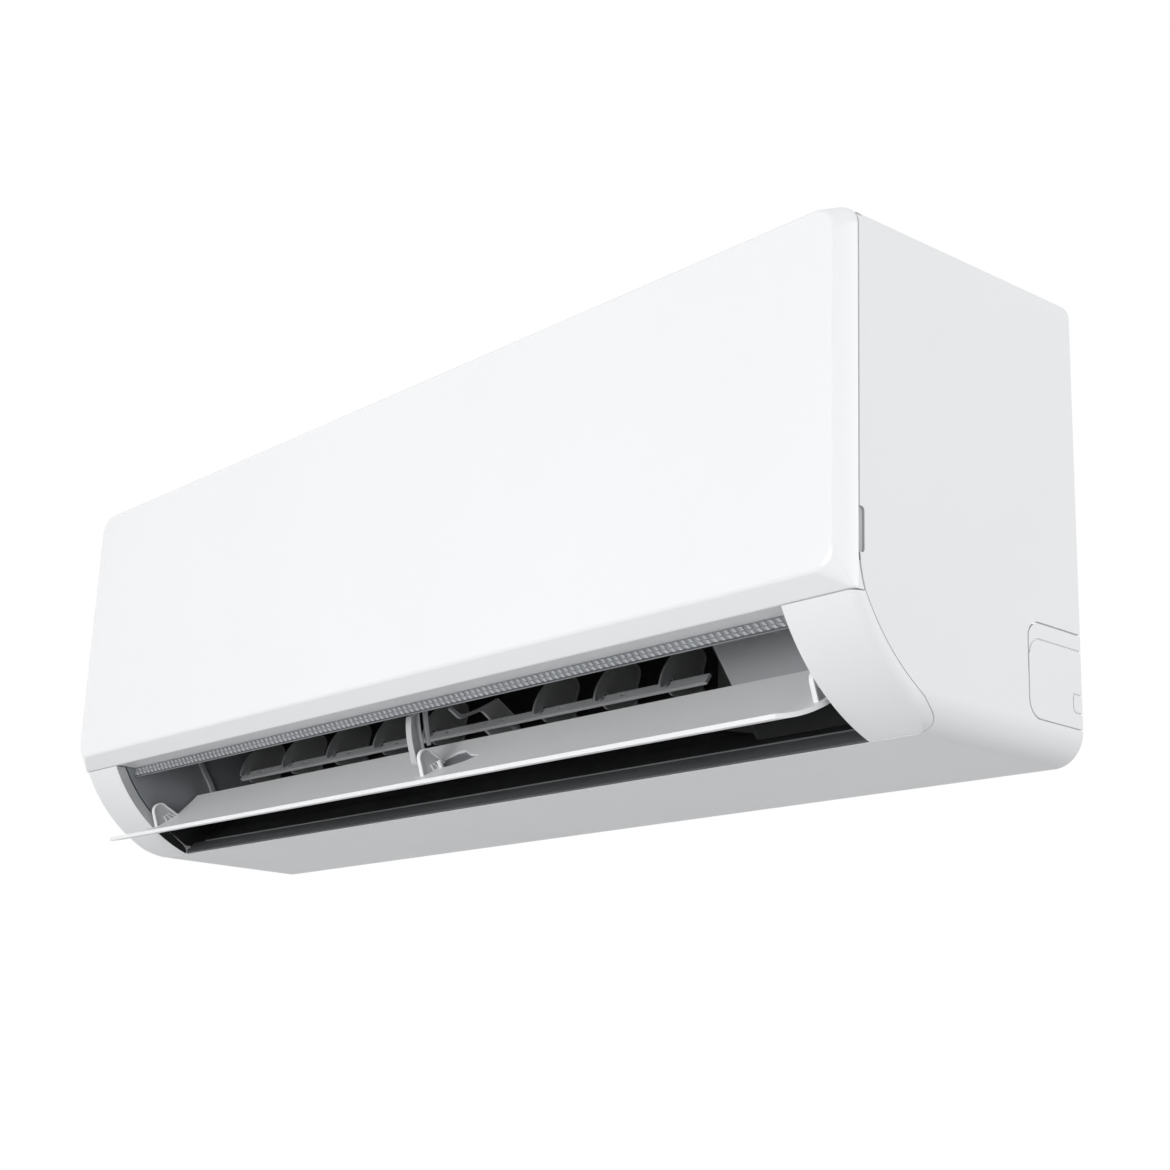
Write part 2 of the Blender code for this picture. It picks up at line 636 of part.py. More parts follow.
def make_front_panel():
    panel = loft("front_panel", [
        panel_section(PANEL_RIM_DEPTH, HALF_WIDTH, PANEL_BOTTOM, PANEL_TOP, 0.0006, TOP_EDGE_RADIUS),
        panel_section(PANEL_BAND_DEPTH, HALF_WIDTH - 0.0008, PANEL_BOTTOM, PANEL_TOP, 0.0012, TOP_EDGE_RADIUS),
        panel_section(UNIT_DEPTH - 0.0008, PLATE_HALF + 0.0004, PLATE_BOTTOM - 0.0006, PLATE_TOP + 0.0006,
                      PLATE_CORNER, PLATE_CORNER),
        panel_section(UNIT_DEPTH, PLATE_HALF - 0.0008, PLATE_BOTTOM + 0.0008, PLATE_TOP - 0.0008,
                      PLATE_CORNER, PLATE_CORNER)], "white_panel")
    hollow = loft("panel_hollow", [
        panel_section(PANEL_RIM_DEPTH - 0.002, HALF_WIDTH, PANEL_BOTTOM, PANEL_TOP, 0.0006, TOP_EDGE_RADIUS,
                      PANEL_WALL),
        panel_section(PANEL_BAND_DEPTH, HALF_WIDTH - 0.0008, PANEL_BOTTOM, PANEL_TOP, 0.0012, TOP_EDGE_RADIUS,
                      PANEL_WALL),
        panel_section(UNIT_DEPTH - PANEL_WALL, PLATE_HALF, PLATE_BOTTOM, PLATE_TOP, PLATE_CORNER,
                      PLATE_CORNER, PANEL_WALL)])
    cut(panel, hollow)
    flange = box("panel_flange", (-OUTLET_HALF + TOUCH_GAP * 2, -PANEL_BAND_DEPTH - 0.0005, PANEL_BOTTOM),
                 (OUTLET_HALF - TOUCH_GAP * 2, -PANEL_BAND_DEPTH + FLANGE_REACH, PANEL_BOTTOM + PANEL_WALL))
    join(panel, flange)
    # Stiffening ribs on the inside of the plate
    rib_back = -UNIT_DEPTH + PANEL_WALL + 0.006
    rib_half = PLATE_HALF - 0.0213
    for height in (0.120 * TALL, 0.240 * TALL):
        join(panel, box("panel_rib", (-rib_half, -UNIT_DEPTH + 0.001, height), (rib_half, rib_back, height + 0.0016)))
    for across in (-0.25 * WIDE, 0.0, 0.25 * WIDE):
        join(panel, box("panel_rib", (across, -UNIT_DEPTH + 0.001, PLATE_BOTTOM + 0.0113),
                        (across + 0.0016, rib_back, PLATE_TOP - 0.0115)))
    for side in (-1, 1):
        ear_x = sorted((side * EAR_X, side * (EAR_X + EAR_WIDTH)))
        outline = (arc((PANEL_PIVOT_Y, PANEL_PIVOT_Z), 0.0032, -60, 90, 5)
                   + [(-UNIT_DEPTH + 0.0095, PANEL_TOP - 0.0014), (-UNIT_DEPTH + 0.0015, PANEL_TOP - 0.0150),
                      (-UNIT_DEPTH + 0.0040, PANEL_TOP - 0.0250)])
        join(panel, flat("panel_ear", [outline], "x", *ear_x))
        join(panel, rod("panel_pin", (side * (EAR_X + EAR_WIDTH - 0.001), PANEL_PIVOT_Y, PANEL_PIVOT_Z),
                        (side * (EAR_X + EAR_WIDTH + 0.0035), PANEL_PIVOT_Y, PANEL_PIVOT_Z),
                        PANEL_PIN_RADIUS, sides=12))
    freeze(panel)
    return set_origin(panel, (0, PANEL_PIVOT_Y, PANEL_PIVOT_Z))


# Rear chassis: the scroll behind the fan, the duct floor and the back wall

LOWER_FLOOR = section((-0.1044, 0.0212), (-0.082, 0.043), (-0.063, 0.068), (-0.051, 0.092))
UPPER_SCROLL = section((-0.0515, 0.0905), (-0.0455, 0.120), (-0.0435, 0.145), (-0.044, 0.165), (-0.0475, 0.182))
SCROLL_RIGHT = DUCT_RIGHT - TOUCH_GAP
SCROLL_LEFT = -OUTLET_HALF + TOUCH_GAP
VANE_ROOT = LOWER_FLOOR[2]
FLOOR_SLOPE = radians(round(angle_about(LOWER_FLOOR[3], LOWER_FLOOR[1]), 1))


def along_floor(reach, height, across=0.0):
    """A point at a distance along the air's path from the vane pivots and a height off the floor."""
    y = VANE_ROOT[0] + reach * cos(FLOOR_SLOPE) + height * sin(FLOOR_SLOPE)
    z = VANE_ROOT[1] + reach * sin(FLOOR_SLOPE) - height * cos(FLOOR_SLOPE)
    return Vector((across, y, z))


CLAMP_SCREW_X = CLAMP_LEFT + CLAMP_WIDTH / 2
FOOT_LEFT = CLAMP_SCREW_X - 0.005


def clamp_ears(name, low, high):
    """The two flat ears, in front of and behind the fan motor."""
    inner = MOTOR_BODY_RADIUS + 0.0015
    outer = CLAMP_SCREW_REACH + 0.004
    return [box(name, (CLAMP_SCREW_X - 0.010, FAN_Y + min(side * inner, side * outer), low),
                (CLAMP_SCREW_X + 0.010, FAN_Y + max(side * inner, side * outer), high)) for side in (-1, 1)]


def clamp_holes(radius):
    return [rod("clamp_screw_hole", (CLAMP_SCREW_X, FAN_Y + side * CLAMP_SCREW_REACH, FAN_Z - 0.01),
                (CLAMP_SCREW_X, FAN_Y + side * CLAMP_SCREW_REACH, FAN_Z + 0.01), radius, sides=10)
            for side in (-1, 1)]


def make_rear_chassis():
    floor = smooth_line(LOWER_FLOOR, 3)
    shelf = floor[-1][1]
    chassis = bent_sheet("rear_chassis", floor + [(BACK_WALL_Y, shelf), (BACK_WALL_Y, 0.270 * TALL)],
                         -BACK_HALF, BACK_HALF, SHEET, "charcoal", side=-1)
    scroll = bent_sheet("scroll", smooth_line(UPPER_SCROLL, 2), SCROLL_LEFT, SCROLL_RIGHT, SHEET, side=-1)
    join(chassis, scroll)
    join(chassis, bent_sheet("rear_trough", section((-0.0435, 0.166), (-0.0118, 0.170)), SCROLL_LEFT, SCROLL_RIGHT,
                             SHEET))
    # Cradle under the fan motor, with ears for the clamp's screws
    cradle = bent_sheet("cradle", arc(FAN_CENTRE, MOTOR_BODY_RADIUS + STRAP_GAP, 182, 358, 12),
                        CLAMP_LEFT - 0.002, CLAMP_LEFT + CLAMP_WIDTH + 0.002, 0.003, side=-1)
    join(chassis, cradle)
    cradle_low = FAN_Z - MOTOR_BODY_RADIUS
    join(chassis, box("cradle_web", (FOOT_LEFT, FAN_Y - 0.006, shelf - 0.0015),
                      (FOOT_LEFT + 0.006, BACK_WALL_Y + 0.0013, cradle_low - 0.0012)))
    join(chassis, box("cradle_foot", (FOOT_LEFT, FAN_Y + 0.0395, shelf - 0.0015),
                      (FOOT_LEFT + 0.006, BACK_WALL_Y + 0.0013, FAN_Z - 0.020)))
    for ear in clamp_ears("cradle_ear", FAN_Z - 0.004, FAN_Z - 0.0016):
        join(chassis, ear)
    for hole in clamp_holes(CLAMP_SCREW_RADIUS + TOUCH_GAP):
        cut(chassis, hole)
    # Pivot holes for the vanes and the crank
    for place_number in range(VANE_COUNT):
        across = VANE_FIRST_X + VANE_PITCH * place_number
        radius = (CRANK_SHAFT_RADIUS if place_number == CRANK_PLACE else VANE_PIN_RADIUS) + SHAFT_GAP
        cut(chassis, rod("vane_hole", along_floor(0, -0.006, across), along_floor(0, 0.004, across), radius, sides=8))
    # Way through for the pipes, and hook slots that hang on the wall plate
    cut(chassis, box("pipe_way", (PIPE_X - 0.0135, LIQUID_Y - 0.011, shelf - 0.012),
                     (PIPE_X + 0.0185, GAS_Y + 0.007, shelf + 0.013)))
    for across in (-HOOK_X, HOOK_X):
        cut(chassis, box("hook_slot", (across - HOOK_HALF - 0.003, BACK_WALL_Y - 0.008, HOOK_Z - 0.0087),
                         (across + HOOK_HALF + 0.003, BACK_WALL_Y + 0.008, HOOK_Z + 0.0009)))
    return chassis


def make_outlet_lip():
    line = section((-0.1048, 0.0208), (-0.112, 0.0148), (-0.119, 0.0092), (-0.1238, 0.0056))
    lip = bent_sheet("outlet_lip", line, -OUTLET_HALF + TOUCH_GAP, OUTLET_HALF - TOUCH_GAP, 0.0022,
                     "charcoal", side=1)
    (line_y, line_z), = section((-0.1175, 0.0102))
    join(lip, rod("lip_line", (-LOUVER_HALF, line_y, line_z), (LOUVER_HALF, line_y, line_z), 0.0007, sides=8))
    return lip


# Drain pan, which is also the front wall of the duct and the ribbed strip over the outlet

def make_drain_pan():
    line = section((-0.1788, 0.095), (-0.1788, 0.0579), (-0.162, 0.0650), (-0.1525, 0.0760), (-0.1485, 0.0900),
                   (-0.1460, 0.1050), (-0.1445, 0.1180))
    pan = bent_sheet("drain_pan", line, -OUTLET_HALF, OUTLET_HALF, SHEET, "light_grey")
    end_outline = section((-0.1792, 0.094), (-0.1792, 0.0585), (-0.1618, 0.0655), (-0.1522, 0.0765),
                          (-0.1482, 0.0905), (-0.1478, 0.0940))
    for side in (-1, 1):
        wall = sorted((side * OUTLET_HALF, side * (OUTLET_HALF - SHEET)))
        join(pan, flat("pan_end", [end_outline], "x", *wall))
    return pan


# Plates at the ends of the duct

# Outlines of the duct's ends: along the outlet, and up the floor and scroll to the coil
OUTLET_EDGE = (arc(CURVE_CENTRE, SEAM_RADIUS - SEAM_GAP, CURVE_START + 2.2, CURVE_END - 7.3, 8)
               + section((-0.1265, 0.0075), (-0.122, 0.0072)))
DUCT_REAR = section((-0.0810, 0.0452), (-0.0632, 0.0696), (-0.0520, 0.0930), (-0.0463, 0.1200), (-0.0443, 0.1450),
                    (-0.0450, 0.1650), (-0.0485, 0.1830), (-0.060, 0.2), (-0.140, 0.2))


def make_duct_side_left():
    plate_line = OUTLET_EDGE + section((-0.1035, 0.0238)) + DUCT_REAR + section((-0.145, 0.124))
    low, high = -OUTLET_HALF - SHEET - TOUCH_GAP, -OUTLET_HALF - TOUCH_GAP
    plate = flat("duct_side_left", [plate_line], "x", low, high, "mid_grey")
    cut(plate, rod("louver_pin_hole", (low - 0.001, *LOUVER_PIVOT), (high + 0.001, *LOUVER_PIVOT),
                   LOUVER_PIN_RADIUS + SHAFT_GAP, sides=16))
    cut(plate, rod("bearing_hole", (low - 0.001, *FAN_CENTRE), (high + 0.001, *FAN_CENTRE),
                   BEARING_RADIUS + TOUCH_GAP, sides=32))
    return plate


def make_duct_side_right():
    """Closes the right of the outlet, where there is no duct, and carries the louver motor."""
    face = -CLOSURE_DEPTH + SHEET / 2
    left = DUCT_RIGHT + SHEET / 2
    side_x = OUTLET_HALF + TOUCH_GAP + SHEET / 2
    line = ([(left, -CLOSURE_DEPTH + 0.0205)]
            + arc((left + CLOSURE_CORNER, face + CLOSURE_CORNER), CLOSURE_CORNER, 180, 270, 4)
            + [(side_x, face), (side_x, -CASING_DEPTH - 0.0013)])
    wall = bent_sheet("duct_side_right", line, 0.001, 0.10 * TALL, SHEET, "mid_grey", along="z")
    region_line = OUTLET_EDGE + section((-0.1035, 0.0238), (-0.0905, 0.0361), (-0.0880, 0.0945), (-0.1440, 0.0945),
                                        (-0.1510, 0.0745), (-0.1610, 0.0628), (-0.1775, 0.0560))
    keep_inside(wall, flat("closure_region", [region_line], "x", -UNIT_WIDTH, UNIT_WIDTH))
    cut(wall, rod("louver_shaft_hole", (side_x - 0.01, *LOUVER_PIVOT), (side_x + 0.01, *LOUVER_PIVOT),
                  LOUVER_SHAFT_RADIUS + 0.0009, sides=16))
    return wall


def make_partition():
    """Wall between the fan and its motor."""
    line = (section((-0.0905, 0.0361)) + DUCT_REAR
            + section((-0.1418, 0.120), (-0.1442, 0.0975), (-0.0905, 0.0975)))
    plate = flat("partition", [line], "x", DUCT_RIGHT, DUCT_RIGHT + SHEET, "mid_grey")
    cut(plate, rod("hub_hole", (DUCT_RIGHT - 0.01, *FAN_CENTRE), (DUCT_RIGHT + 0.01, *FAN_CENTRE),
                   BEARING_RADIUS + 0.003, sides=24))
    return plate


# Louver, modelled shut and then swung open

def make_louver():
    inner = CURVE_RADIUS - LOUVER_WALL
    outline = (arc(CURVE_CENTRE, CURVE_RADIUS, LOUVER_START, LOUVER_END, 14)
               + arc(CURVE_CENTRE, inner, LOUVER_END, LOUVER_START, 14))
    louver = flat("louver", [outline], "x", -LOUVER_HALF, LOUVER_HALF, "light_grey")
    lug_outline = (arc(CURVE_CENTRE, inner + 0.001, CURVE_START + 16.7, CURVE_START + 31.7, 3)
                   + arc(LOUVER_PIVOT, LUG_RADIUS, -50, 160, 8))
    lugs = {"left": -LOUVER_HALF + 0.0006, "centre": -0.002, "right": LOUVER_HALF - LUG_WIDTH - 0.0006}
    for start in lugs.values():
        join(louver, flat("louver_lug", [lug_outline], "x", start, start + LUG_WIDTH))
    join(louver, rod("louver_pin", (-OUTLET_HALF - SHEET - 0.0015, *LOUVER_PIVOT),
                     (-LOUVER_HALF + 0.002, *LOUVER_PIVOT), LOUVER_PIN_RADIUS, sides=16))
    join(louver, rod("bracket_pin", (BRACKET_LEFT + 0.0005, *LOUVER_PIVOT), (-0.001, *LOUVER_PIVOT),
                     LOUVER_PIN_RADIUS, sides=16))
    cut(louver, rod("shaft_socket", (lugs["right"] - 0.001, *LOUVER_PIVOT),
                    (LOUVER_HALF + 0.001, *LOUVER_PIVOT), LOUVER_SHAFT_RADIUS + TOUCH_GAP, sides=16))
    freeze(louver)
    set_origin(louver, (0, *LOUVER_PIVOT))
    louver.rotation_euler.x = radians(LOUVER_OPEN)
    return louver


def make_louver_shaft():
    shaft = rod("louver_shaft", (LOUVER_HALF - LUG_WIDTH - 0.002, *LOUVER_PIVOT), (OUTLET_HALF + 0.0125, *LOUVER_PIVOT),
                LOUVER_SHAFT_RADIUS, "steel", sides=16)
    return set_origin(shaft, (0, *LOUVER_PIVOT))


def make_louver_motor():
    start = OUTLET_HALF + TOUCH_GAP + SHEET + TOUCH_GAP
    centre = on_curve(CURVE_RADIUS - LOUVER_PIVOT_SET - MOTOR_OFFSET, CURVE_START + 24.6)
    motor = rod("louver_motor", (start, *centre), (start + MOTOR_THICK, *centre), MOTOR_RADIUS, "galvanised", sides=32)
    tabs = [(centre[0] - 0.020, centre[1] - 0.0035), (centre[0] + 0.020, centre[1] - 0.0035),
            (centre[0] + 0.020, centre[1] + 0.0035), (centre[0] - 0.020, centre[1] + 0.0035)]
    join(motor, flat("motor_tabs", [tabs], "x", start, start + 0.001))
    cut(motor, rod("motor_bore", (start - 0.002, *LOUVER_PIVOT), (OUTLET_HALF + 0.014, *LOUVER_PIVOT),
                   LOUVER_SHAFT_RADIUS + SHAFT_GAP, sides=16))
    return motor


def make_centre_bracket():
    outline = (section((-0.1762, 0.0562), (-0.1640, 0.0616), (-0.1590, 0.0520), (-0.1545, 0.0400))
               + arc(LOUVER_PIVOT, 0.0052, 50, -150, 8)
               + section((-0.1655, 0.0420), (-0.1735, 0.0490)))
    bracket = flat("centre_bracket", [outline], "x", BRACKET_LEFT, BRACKET_LEFT + BRACKET_WIDTH, "light_grey")
    cut(bracket, rod("bracket_bore", (BRACKET_LEFT - 0.001, *LOUVER_PIVOT), (BRACKET_LEFT + 0.008, *LOUVER_PIVOT),
                     LOUVER_PIN_RADIUS + SHAFT_GAP, sides=16))
    return bracket


# Vanes, the link that swings them together, and its crank and motor

def upright(name, outline, across, finish=None, thick=VANE_THICK):
    """A flat plate standing on the duct floor; its outline is (reach, height)."""
    plate = flat(name, [outline], "z", -thick / 2, thick / 2)
    flow = along_floor(1, 0) - along_floor(0, 0)
    up = along_floor(0, 1) - along_floor(0, 0)
    sideways = flow.cross(up)
    turn = Matrix((flow, up, sideways)).transposed().to_4x4()
    plate.data.transform(Matrix.Translation(along_floor(0, 0, across)) @ turn)
    return plate


def vane_outline():
    notch = LINK_REACH - 0.0053
    low, high = LINK_HEIGHT - 0.0021, LINK_HEIGHT + 0.0021
    return [(-0.006, 0.0015), (0.010, 0.0015), (0.0185, 0.010), (0.0195, low), (notch, low), (notch, high),
            (0.0150, high), (0.0200, 0.0285), (0.0225, 0.0300), (0.0195, 0.0325), (0.012, 0.0345), (0.003, 0.0350),
            (-0.006, 0.0335), (-0.014, 0.0300), (-0.020, 0.0250), (-0.024, 0.0190), (-0.0245, 0.0135),
            (-0.021, 0.0095), (-0.012, 0.0065)]


def finish_part(obj, name, finish):
    """Turns a joined shape into a named part with its modifiers applied."""
    freeze(obj)
    CUTTERS.objects.unlink(obj)
    PARTS.objects.link(obj)
    obj.name = name
    obj.hide_render = False
    obj.display_type = "TEXTURED"
    obj.data.materials.clear()
    obj.data.materials.append(material(finish))
    return obj


def make_vane(number, across):
    vane = upright("vane_%d_plate" % number, vane_outline(), across)
    join(vane, rod("vane_pin", along_floor(0, -0.0040, across), along_floor(0, 0.0020, across),
                   VANE_PIN_RADIUS, sides=8))
    join(vane, rod("vane_foot", along_floor(0, TOUCH_GAP, across), along_floor(0, 0.0030, across), 0.0038, sides=8))
    join(vane, rod("link_pin", along_floor(LINK_REACH, LINK_HEIGHT - 0.003, across),
                   along_floor(LINK_REACH, LINK_HEIGHT + 0.0018, across), LINK_PIN_RADIUS, sides=8))
    finish_part(vane, "vane_%d" % number, "mid_grey")
    return set_origin(vane, along_floor(0, 0, across))


def make_swing_crank(across):
    """The driven fork: it stands in a vane's place and pushes the link."""
    low = LINK_HEIGHT - 0.0021
    outline = [(-0.004, 0.0015), (0.010, 0.0015), (0.0195, 0.012), (0.0195, low), (0.0125, low), (0.0080, 0.0150),
               (0.0030, 0.0180), (0.0030, 0.0310), (-0.0010, 0.0330), (-0.0040, 0.0310)]
    crank = upright("swing_crank_plate", outline, across, thick=0.003)
    join(crank, rod("crank_shaft", along_floor(0, -0.0120, across), along_floor(0, 0.0100, across),
                     CRANK_SHAFT_RADIUS, sides=12))
    join(crank, rod("crank_foot", along_floor(0, TOUCH_GAP, across), along_floor(0, 0.0035, across), 0.0042, sides=16))
    join(crank, rod("link_pin", along_floor(LINK_REACH, LINK_HEIGHT - 0.003, across),
                    along_floor(LINK_REACH, LINK_HEIGHT + 0.0018, across), LINK_PIN_RADIUS, sides=12))
    finish_part(crank, "swing_crank", "light_grey")
    return set_origin(crank, along_floor(0, 0, across))


def make_vane_link(crank_x):
    left = VANE_FIRST_X - LINK_LEFT_END
    right = DUCT_RIGHT - LINK_END_MARGIN
    flow = along_floor(1, 0) - along_floor(0, 0)
    up = along_floor(0, 1) - along_floor(0, 0)
    link = flat("vane_link_bar", [[(left, -LINK_WIDTH / 2), (right, -LINK_WIDTH / 2), (right, LINK_WIDTH / 2),
                                   (left, LINK_WIDTH / 2)]], "z", -LINK_THICK / 2, LINK_THICK / 2)
    turn = Matrix((Vector((1, 0, 0)), -flow, up)).transposed().to_4x4()
    link.data.transform(Matrix.Translation(along_floor(LINK_REACH, LINK_HEIGHT)) @ turn)
    for place_number in range(VANE_COUNT):
        across = VANE_FIRST_X + VANE_PITCH * place_number
        cut(link, rod("link_hole", along_floor(LINK_REACH, LINK_HEIGHT - 0.005, across),
                      along_floor(LINK_REACH, LINK_HEIGHT + 0.005, across), LINK_PIN_RADIUS + SHAFT_GAP, sides=8))
    finish_part(link, "vane_link", "mid_grey")
    return set_origin(link, along_floor(LINK_REACH, LINK_HEIGHT, crank_x))


def make_swing_motor(across):
    top = -SHEET - TOUCH_GAP * 2
    motor = rod("swing_motor", along_floor(0, top, across), along_floor(0, top - MOTOR_THICK, across),
                MOTOR_RADIUS, "galvanised", sides=32)
    cut(motor, rod("crank_bore", along_floor(0, top + 0.002, across), along_floor(0, -0.0128, across),
                   CRANK_SHAFT_RADIUS + SHAFT_GAP, sides=12))
    return motor


# Cross-flow fan, its shafts, bearing and motor

def make_fan_wheel():
    wheel = rod("fan_wheel_disc", (FAN_RIGHT - FAN_DISC, *FAN_CENTRE), (FAN_RIGHT, *FAN_CENTRE), FAN_RADIUS, sides=40)
    join(wheel, rod("fan_left_disc", (FAN_LEFT, *FAN_CENTRE), (FAN_LEFT + FAN_DISC, *FAN_CENTRE), FAN_RADIUS, sides=40))
    # Blades: thin, forward-curved strips that run the whole length
    blades = bmesh.new()
    inner = FAN_RADIUS - FAN_BLADE_DEPTH
    for number in range(FAN_BLADES):
        turn = 2 * pi * number / FAN_BLADES
        spine = []
        for i in range(3):
            share = i / 2
            radius = inner + (FAN_RADIUS - 0.0006 - inner) * share
            lean = turn + 0.10 * share + 0.10 * share * share
            spine.append(Vector((radius * cos(lean), radius * sin(lean))))
        thick = [Vector((-(b - a).normalized().y, (b - a).normalized().x)) * FAN_BLADE_THICK / 2
                 for a, b in zip(spine, spine[1:] + [spine[-1] * 2 - spine[-2]])]
        ring = [p + t for p, t in zip(spine, thick)] + [p - t for p, t in zip(spine[::-1], thick[::-1])]
        ends = []
        for x in (FAN_LEFT + FAN_DISC / 2, FAN_RIGHT - FAN_DISC / 2):
            ends.append([blades.verts.new((x, FAN_Y + p.x, FAN_Z + p.y)) for p in ring])
        for i in range(len(ring)):
            j = (i + 1) % len(ring)
            blades.faces.new((ends[0][i], ends[0][j], ends[1][j], ends[1][i]))
        blades.faces.new(ends[0])
        blades.faces.new(ends[1])
    bmesh.ops.recalc_face_normals(blades, faces=blades.faces)
    mesh = bpy.data.meshes.new("fan_blades")
    blades.to_mesh(mesh)
    blades.free()
    join(wheel, place("fan_blades", mesh))
    # Ring discs that tie the blades together
    for number in range(1, FAN_SECTIONS):
        x = FAN_LEFT + (FAN_RIGHT - FAN_LEFT) * number / FAN_SECTIONS
        ring = rod("fan_ring", (x, *FAN_CENTRE), (x + 0.0016, *FAN_CENTRE), FAN_RADIUS - 0.0002, sides=40)
        cut(ring, rod("fan_ring_hole", (x - 0.01, *FAN_CENTRE), (x + 0.01, *FAN_CENTRE), inner - 0.002, sides=24))
        join(wheel, ring)
    hub = rod("fan_hub", (FAN_RIGHT - 0.016, *FAN_CENTRE), (FAN_RIGHT - 0.001, *FAN_CENTRE), 0.012, sides=24)
    join(wheel, hub)
    cut(wheel, rod("hub_bore", (FAN_RIGHT - 0.020, *FAN_CENTRE), (FAN_RIGHT + 0.004, *FAN_CENTRE),
                   FAN_SHAFT_RADIUS + TOUCH_GAP, sides=24))
    cut(wheel, rod("stub_bore", (FAN_LEFT - 0.004, *FAN_CENTRE), (FAN_LEFT + 0.004, *FAN_CENTRE),
                   FAN_SHAFT_RADIUS + TOUCH_GAP, sides=24))
    finish_part(wheel, "fan_wheel", "charcoal")
    return set_origin(wheel, (0, *FAN_CENTRE))


def make_fan_shafts():
    stub = rod("fan_stub_shaft", (FAN_LEFT - 0.0155, *FAN_CENTRE), (FAN_LEFT + 0.006, *FAN_CENTRE),
               FAN_SHAFT_RADIUS, "steel", sides=24)
    shaft = rod("motor_shaft", (FAN_RIGHT - 0.0155, *FAN_CENTRE), (MOTOR_LEFT + 0.012, *FAN_CENTRE),
                FAN_SHAFT_RADIUS, "steel", sides=24)
    set_origin(stub, (0, *FAN_CENTRE))
    set_origin(shaft, (0, *FAN_CENTRE))


def make_fan_bearing():
    start = -OUTLET_HALF - SHEET - TOUCH_GAP - 0.007
    bearing = rod("fan_bearing", (start, *FAN_CENTRE), (-OUTLET_HALF - TOUCH_GAP, *FAN_CENTRE), BEARING_RADIUS,
                  "rubber", sides=32)
    cut(bearing, rod("bearing_bore", (start - 0.002, *FAN_CENTRE), (-OUTLET_HALF + 0.002, *FAN_CENTRE),
                     FAN_SHAFT_RADIUS + BEARING_GAP, sides=24))
    return bearing


def make_fan_motor():
    motor = rod("fan_motor", (MOTOR_LEFT, *FAN_CENTRE), (MOTOR_RIGHT, *FAN_CENTRE), MOTOR_BODY_RADIUS, "galvanised",
                sides=32)
    edge = motor.modifiers.new("edges", "BEVEL")
    edge.width = 0.004
    edge.segments = 1
    edge.limit_method = "ANGLE"
    edge.angle_limit = radians(60)
    join(motor, rod("motor_nose", (MOTOR_LEFT - 0.008, *FAN_CENTRE), (MOTOR_LEFT + 0.002, *FAN_CENTRE), 0.013, sides=24))
    cut(motor, rod("motor_nose_bore", (MOTOR_LEFT - 0.010, *FAN_CENTRE), (MOTOR_LEFT + 0.014, *FAN_CENTRE),
                   FAN_SHAFT_RADIUS + BEARING_GAP, sides=24))
    return motor


def make_motor_clamp():
    """Strap over the motor, and the two screws that pull it down to the cradle."""
    line = arc(FAN_CENTRE, MOTOR_BODY_RADIUS + STRAP_GAP, 178, 2, 12)
    clamp = bent_sheet("motor_clamp", line, CLAMP_LEFT, CLAMP_LEFT + CLAMP_WIDTH, 0.003, "light_grey", side=1)
    low, high = FAN_Z + 0.0016, FAN_Z + 0.004
    for ear in clamp_ears("clamp_ear", low, high):
        join(clamp, ear)
    for hole in clamp_holes(CLAMP_SCREW_RADIUS + SHAFT_GAP):
        cut(clamp, hole)
    for number, side in enumerate((-1, 1), 1):
        y = FAN_Y + side * CLAMP_SCREW_REACH
        screw = rod("clamp_screw_%d" % number, (CLAMP_SCREW_X, y, FAN_Z - 0.0055),
                    (CLAMP_SCREW_X, y, high + 0.001), CLAMP_SCREW_RADIUS, "steel", sides=10)
        join(screw, rod("screw_head", (CLAMP_SCREW_X, y, high + TOUCH_GAP),
                        (CLAMP_SCREW_X, y, high + 0.0022), 0.003, sides=12))
    return clamp


# Heat exchanger

COIL_LINES = {
    "coil_front_lower": section((-0.1650, 0.0880), (-0.1650, 0.1860)),
    "coil_front_upper": section((-0.1620, 0.1960), (-0.1190, 0.2650)),
    "coil_rear": section((-0.0970, 0.2630), (-0.0360, 0.1960)),
}
COIL_ARCH = section((-0.1650, 0.0865), (-0.1650, 0.1910), (-0.1160, 0.2640), (-0.1000, 0.2640), (-0.0345, 0.1945))


def make_coils():
    for name, line in COIL_LINES.items():
        bent_sheet(name, line, COIL_LEFT + TOUCH_GAP, COIL_RIGHT - TOUCH_GAP, COIL_THICK, "aluminium")
    bent_sheet("coil_plate_left", COIL_ARCH, COIL_LEFT - COIL_PLATE, COIL_LEFT, COIL_THICK, "galvanised")
    bent_sheet("coil_plate_right", COIL_ARCH, COIL_RIGHT, COIL_RIGHT + COIL_PLATE, COIL_THICK, "galvanised")


def make_pipes():
    start = COIL_RIGHT + COIL_PLATE + TOUCH_GAP
    gas_top, liquid_top = 0.166 * TALL, 0.1235 * TALL
    gas = [(start, PIPE_FRONT, gas_top), (PIPE_X, PIPE_FRONT, gas_top), (PIPE_X, GAS_Y, gas_top),
           (PIPE_X, GAS_Y, GAS_Z), (-0.050 * WIDE, GAS_Y, GAS_Z)]
    liquid = [(start, PIPE_FRONT, liquid_top), (PIPE_X, PIPE_FRONT, liquid_top), (PIPE_X, LIQUID_Y, liquid_top),
              (PIPE_X, LIQUID_Y, LIQUID_Z), (-0.030 * WIDE, LIQUID_Y, LIQUID_Z)]
    tube_along("gas_pipe", swept_corners(gas, 0.014), GAS_RADIUS, "copper")
    tube_along("liquid_pipe", swept_corners(liquid, 0.012), LIQUID_RADIUS, "copper")
    for name, end, radius in (("gas_nut", gas[-1], GAS_RADIUS), ("liquid_nut", liquid[-1], LIQUID_RADIUS)):
        nut = rod(name, (end[0] - 0.008, *end[1:]), (end[0] + 0.012, *end[1:]), radius * 1.9, "brass", sides=6)
        cut(nut, rod(name + "_bore", (end[0] - 0.010, *end[1:]), (end[0] + 0.014, *end[1:]), radius + TOUCH_GAP,
                     sides=16))


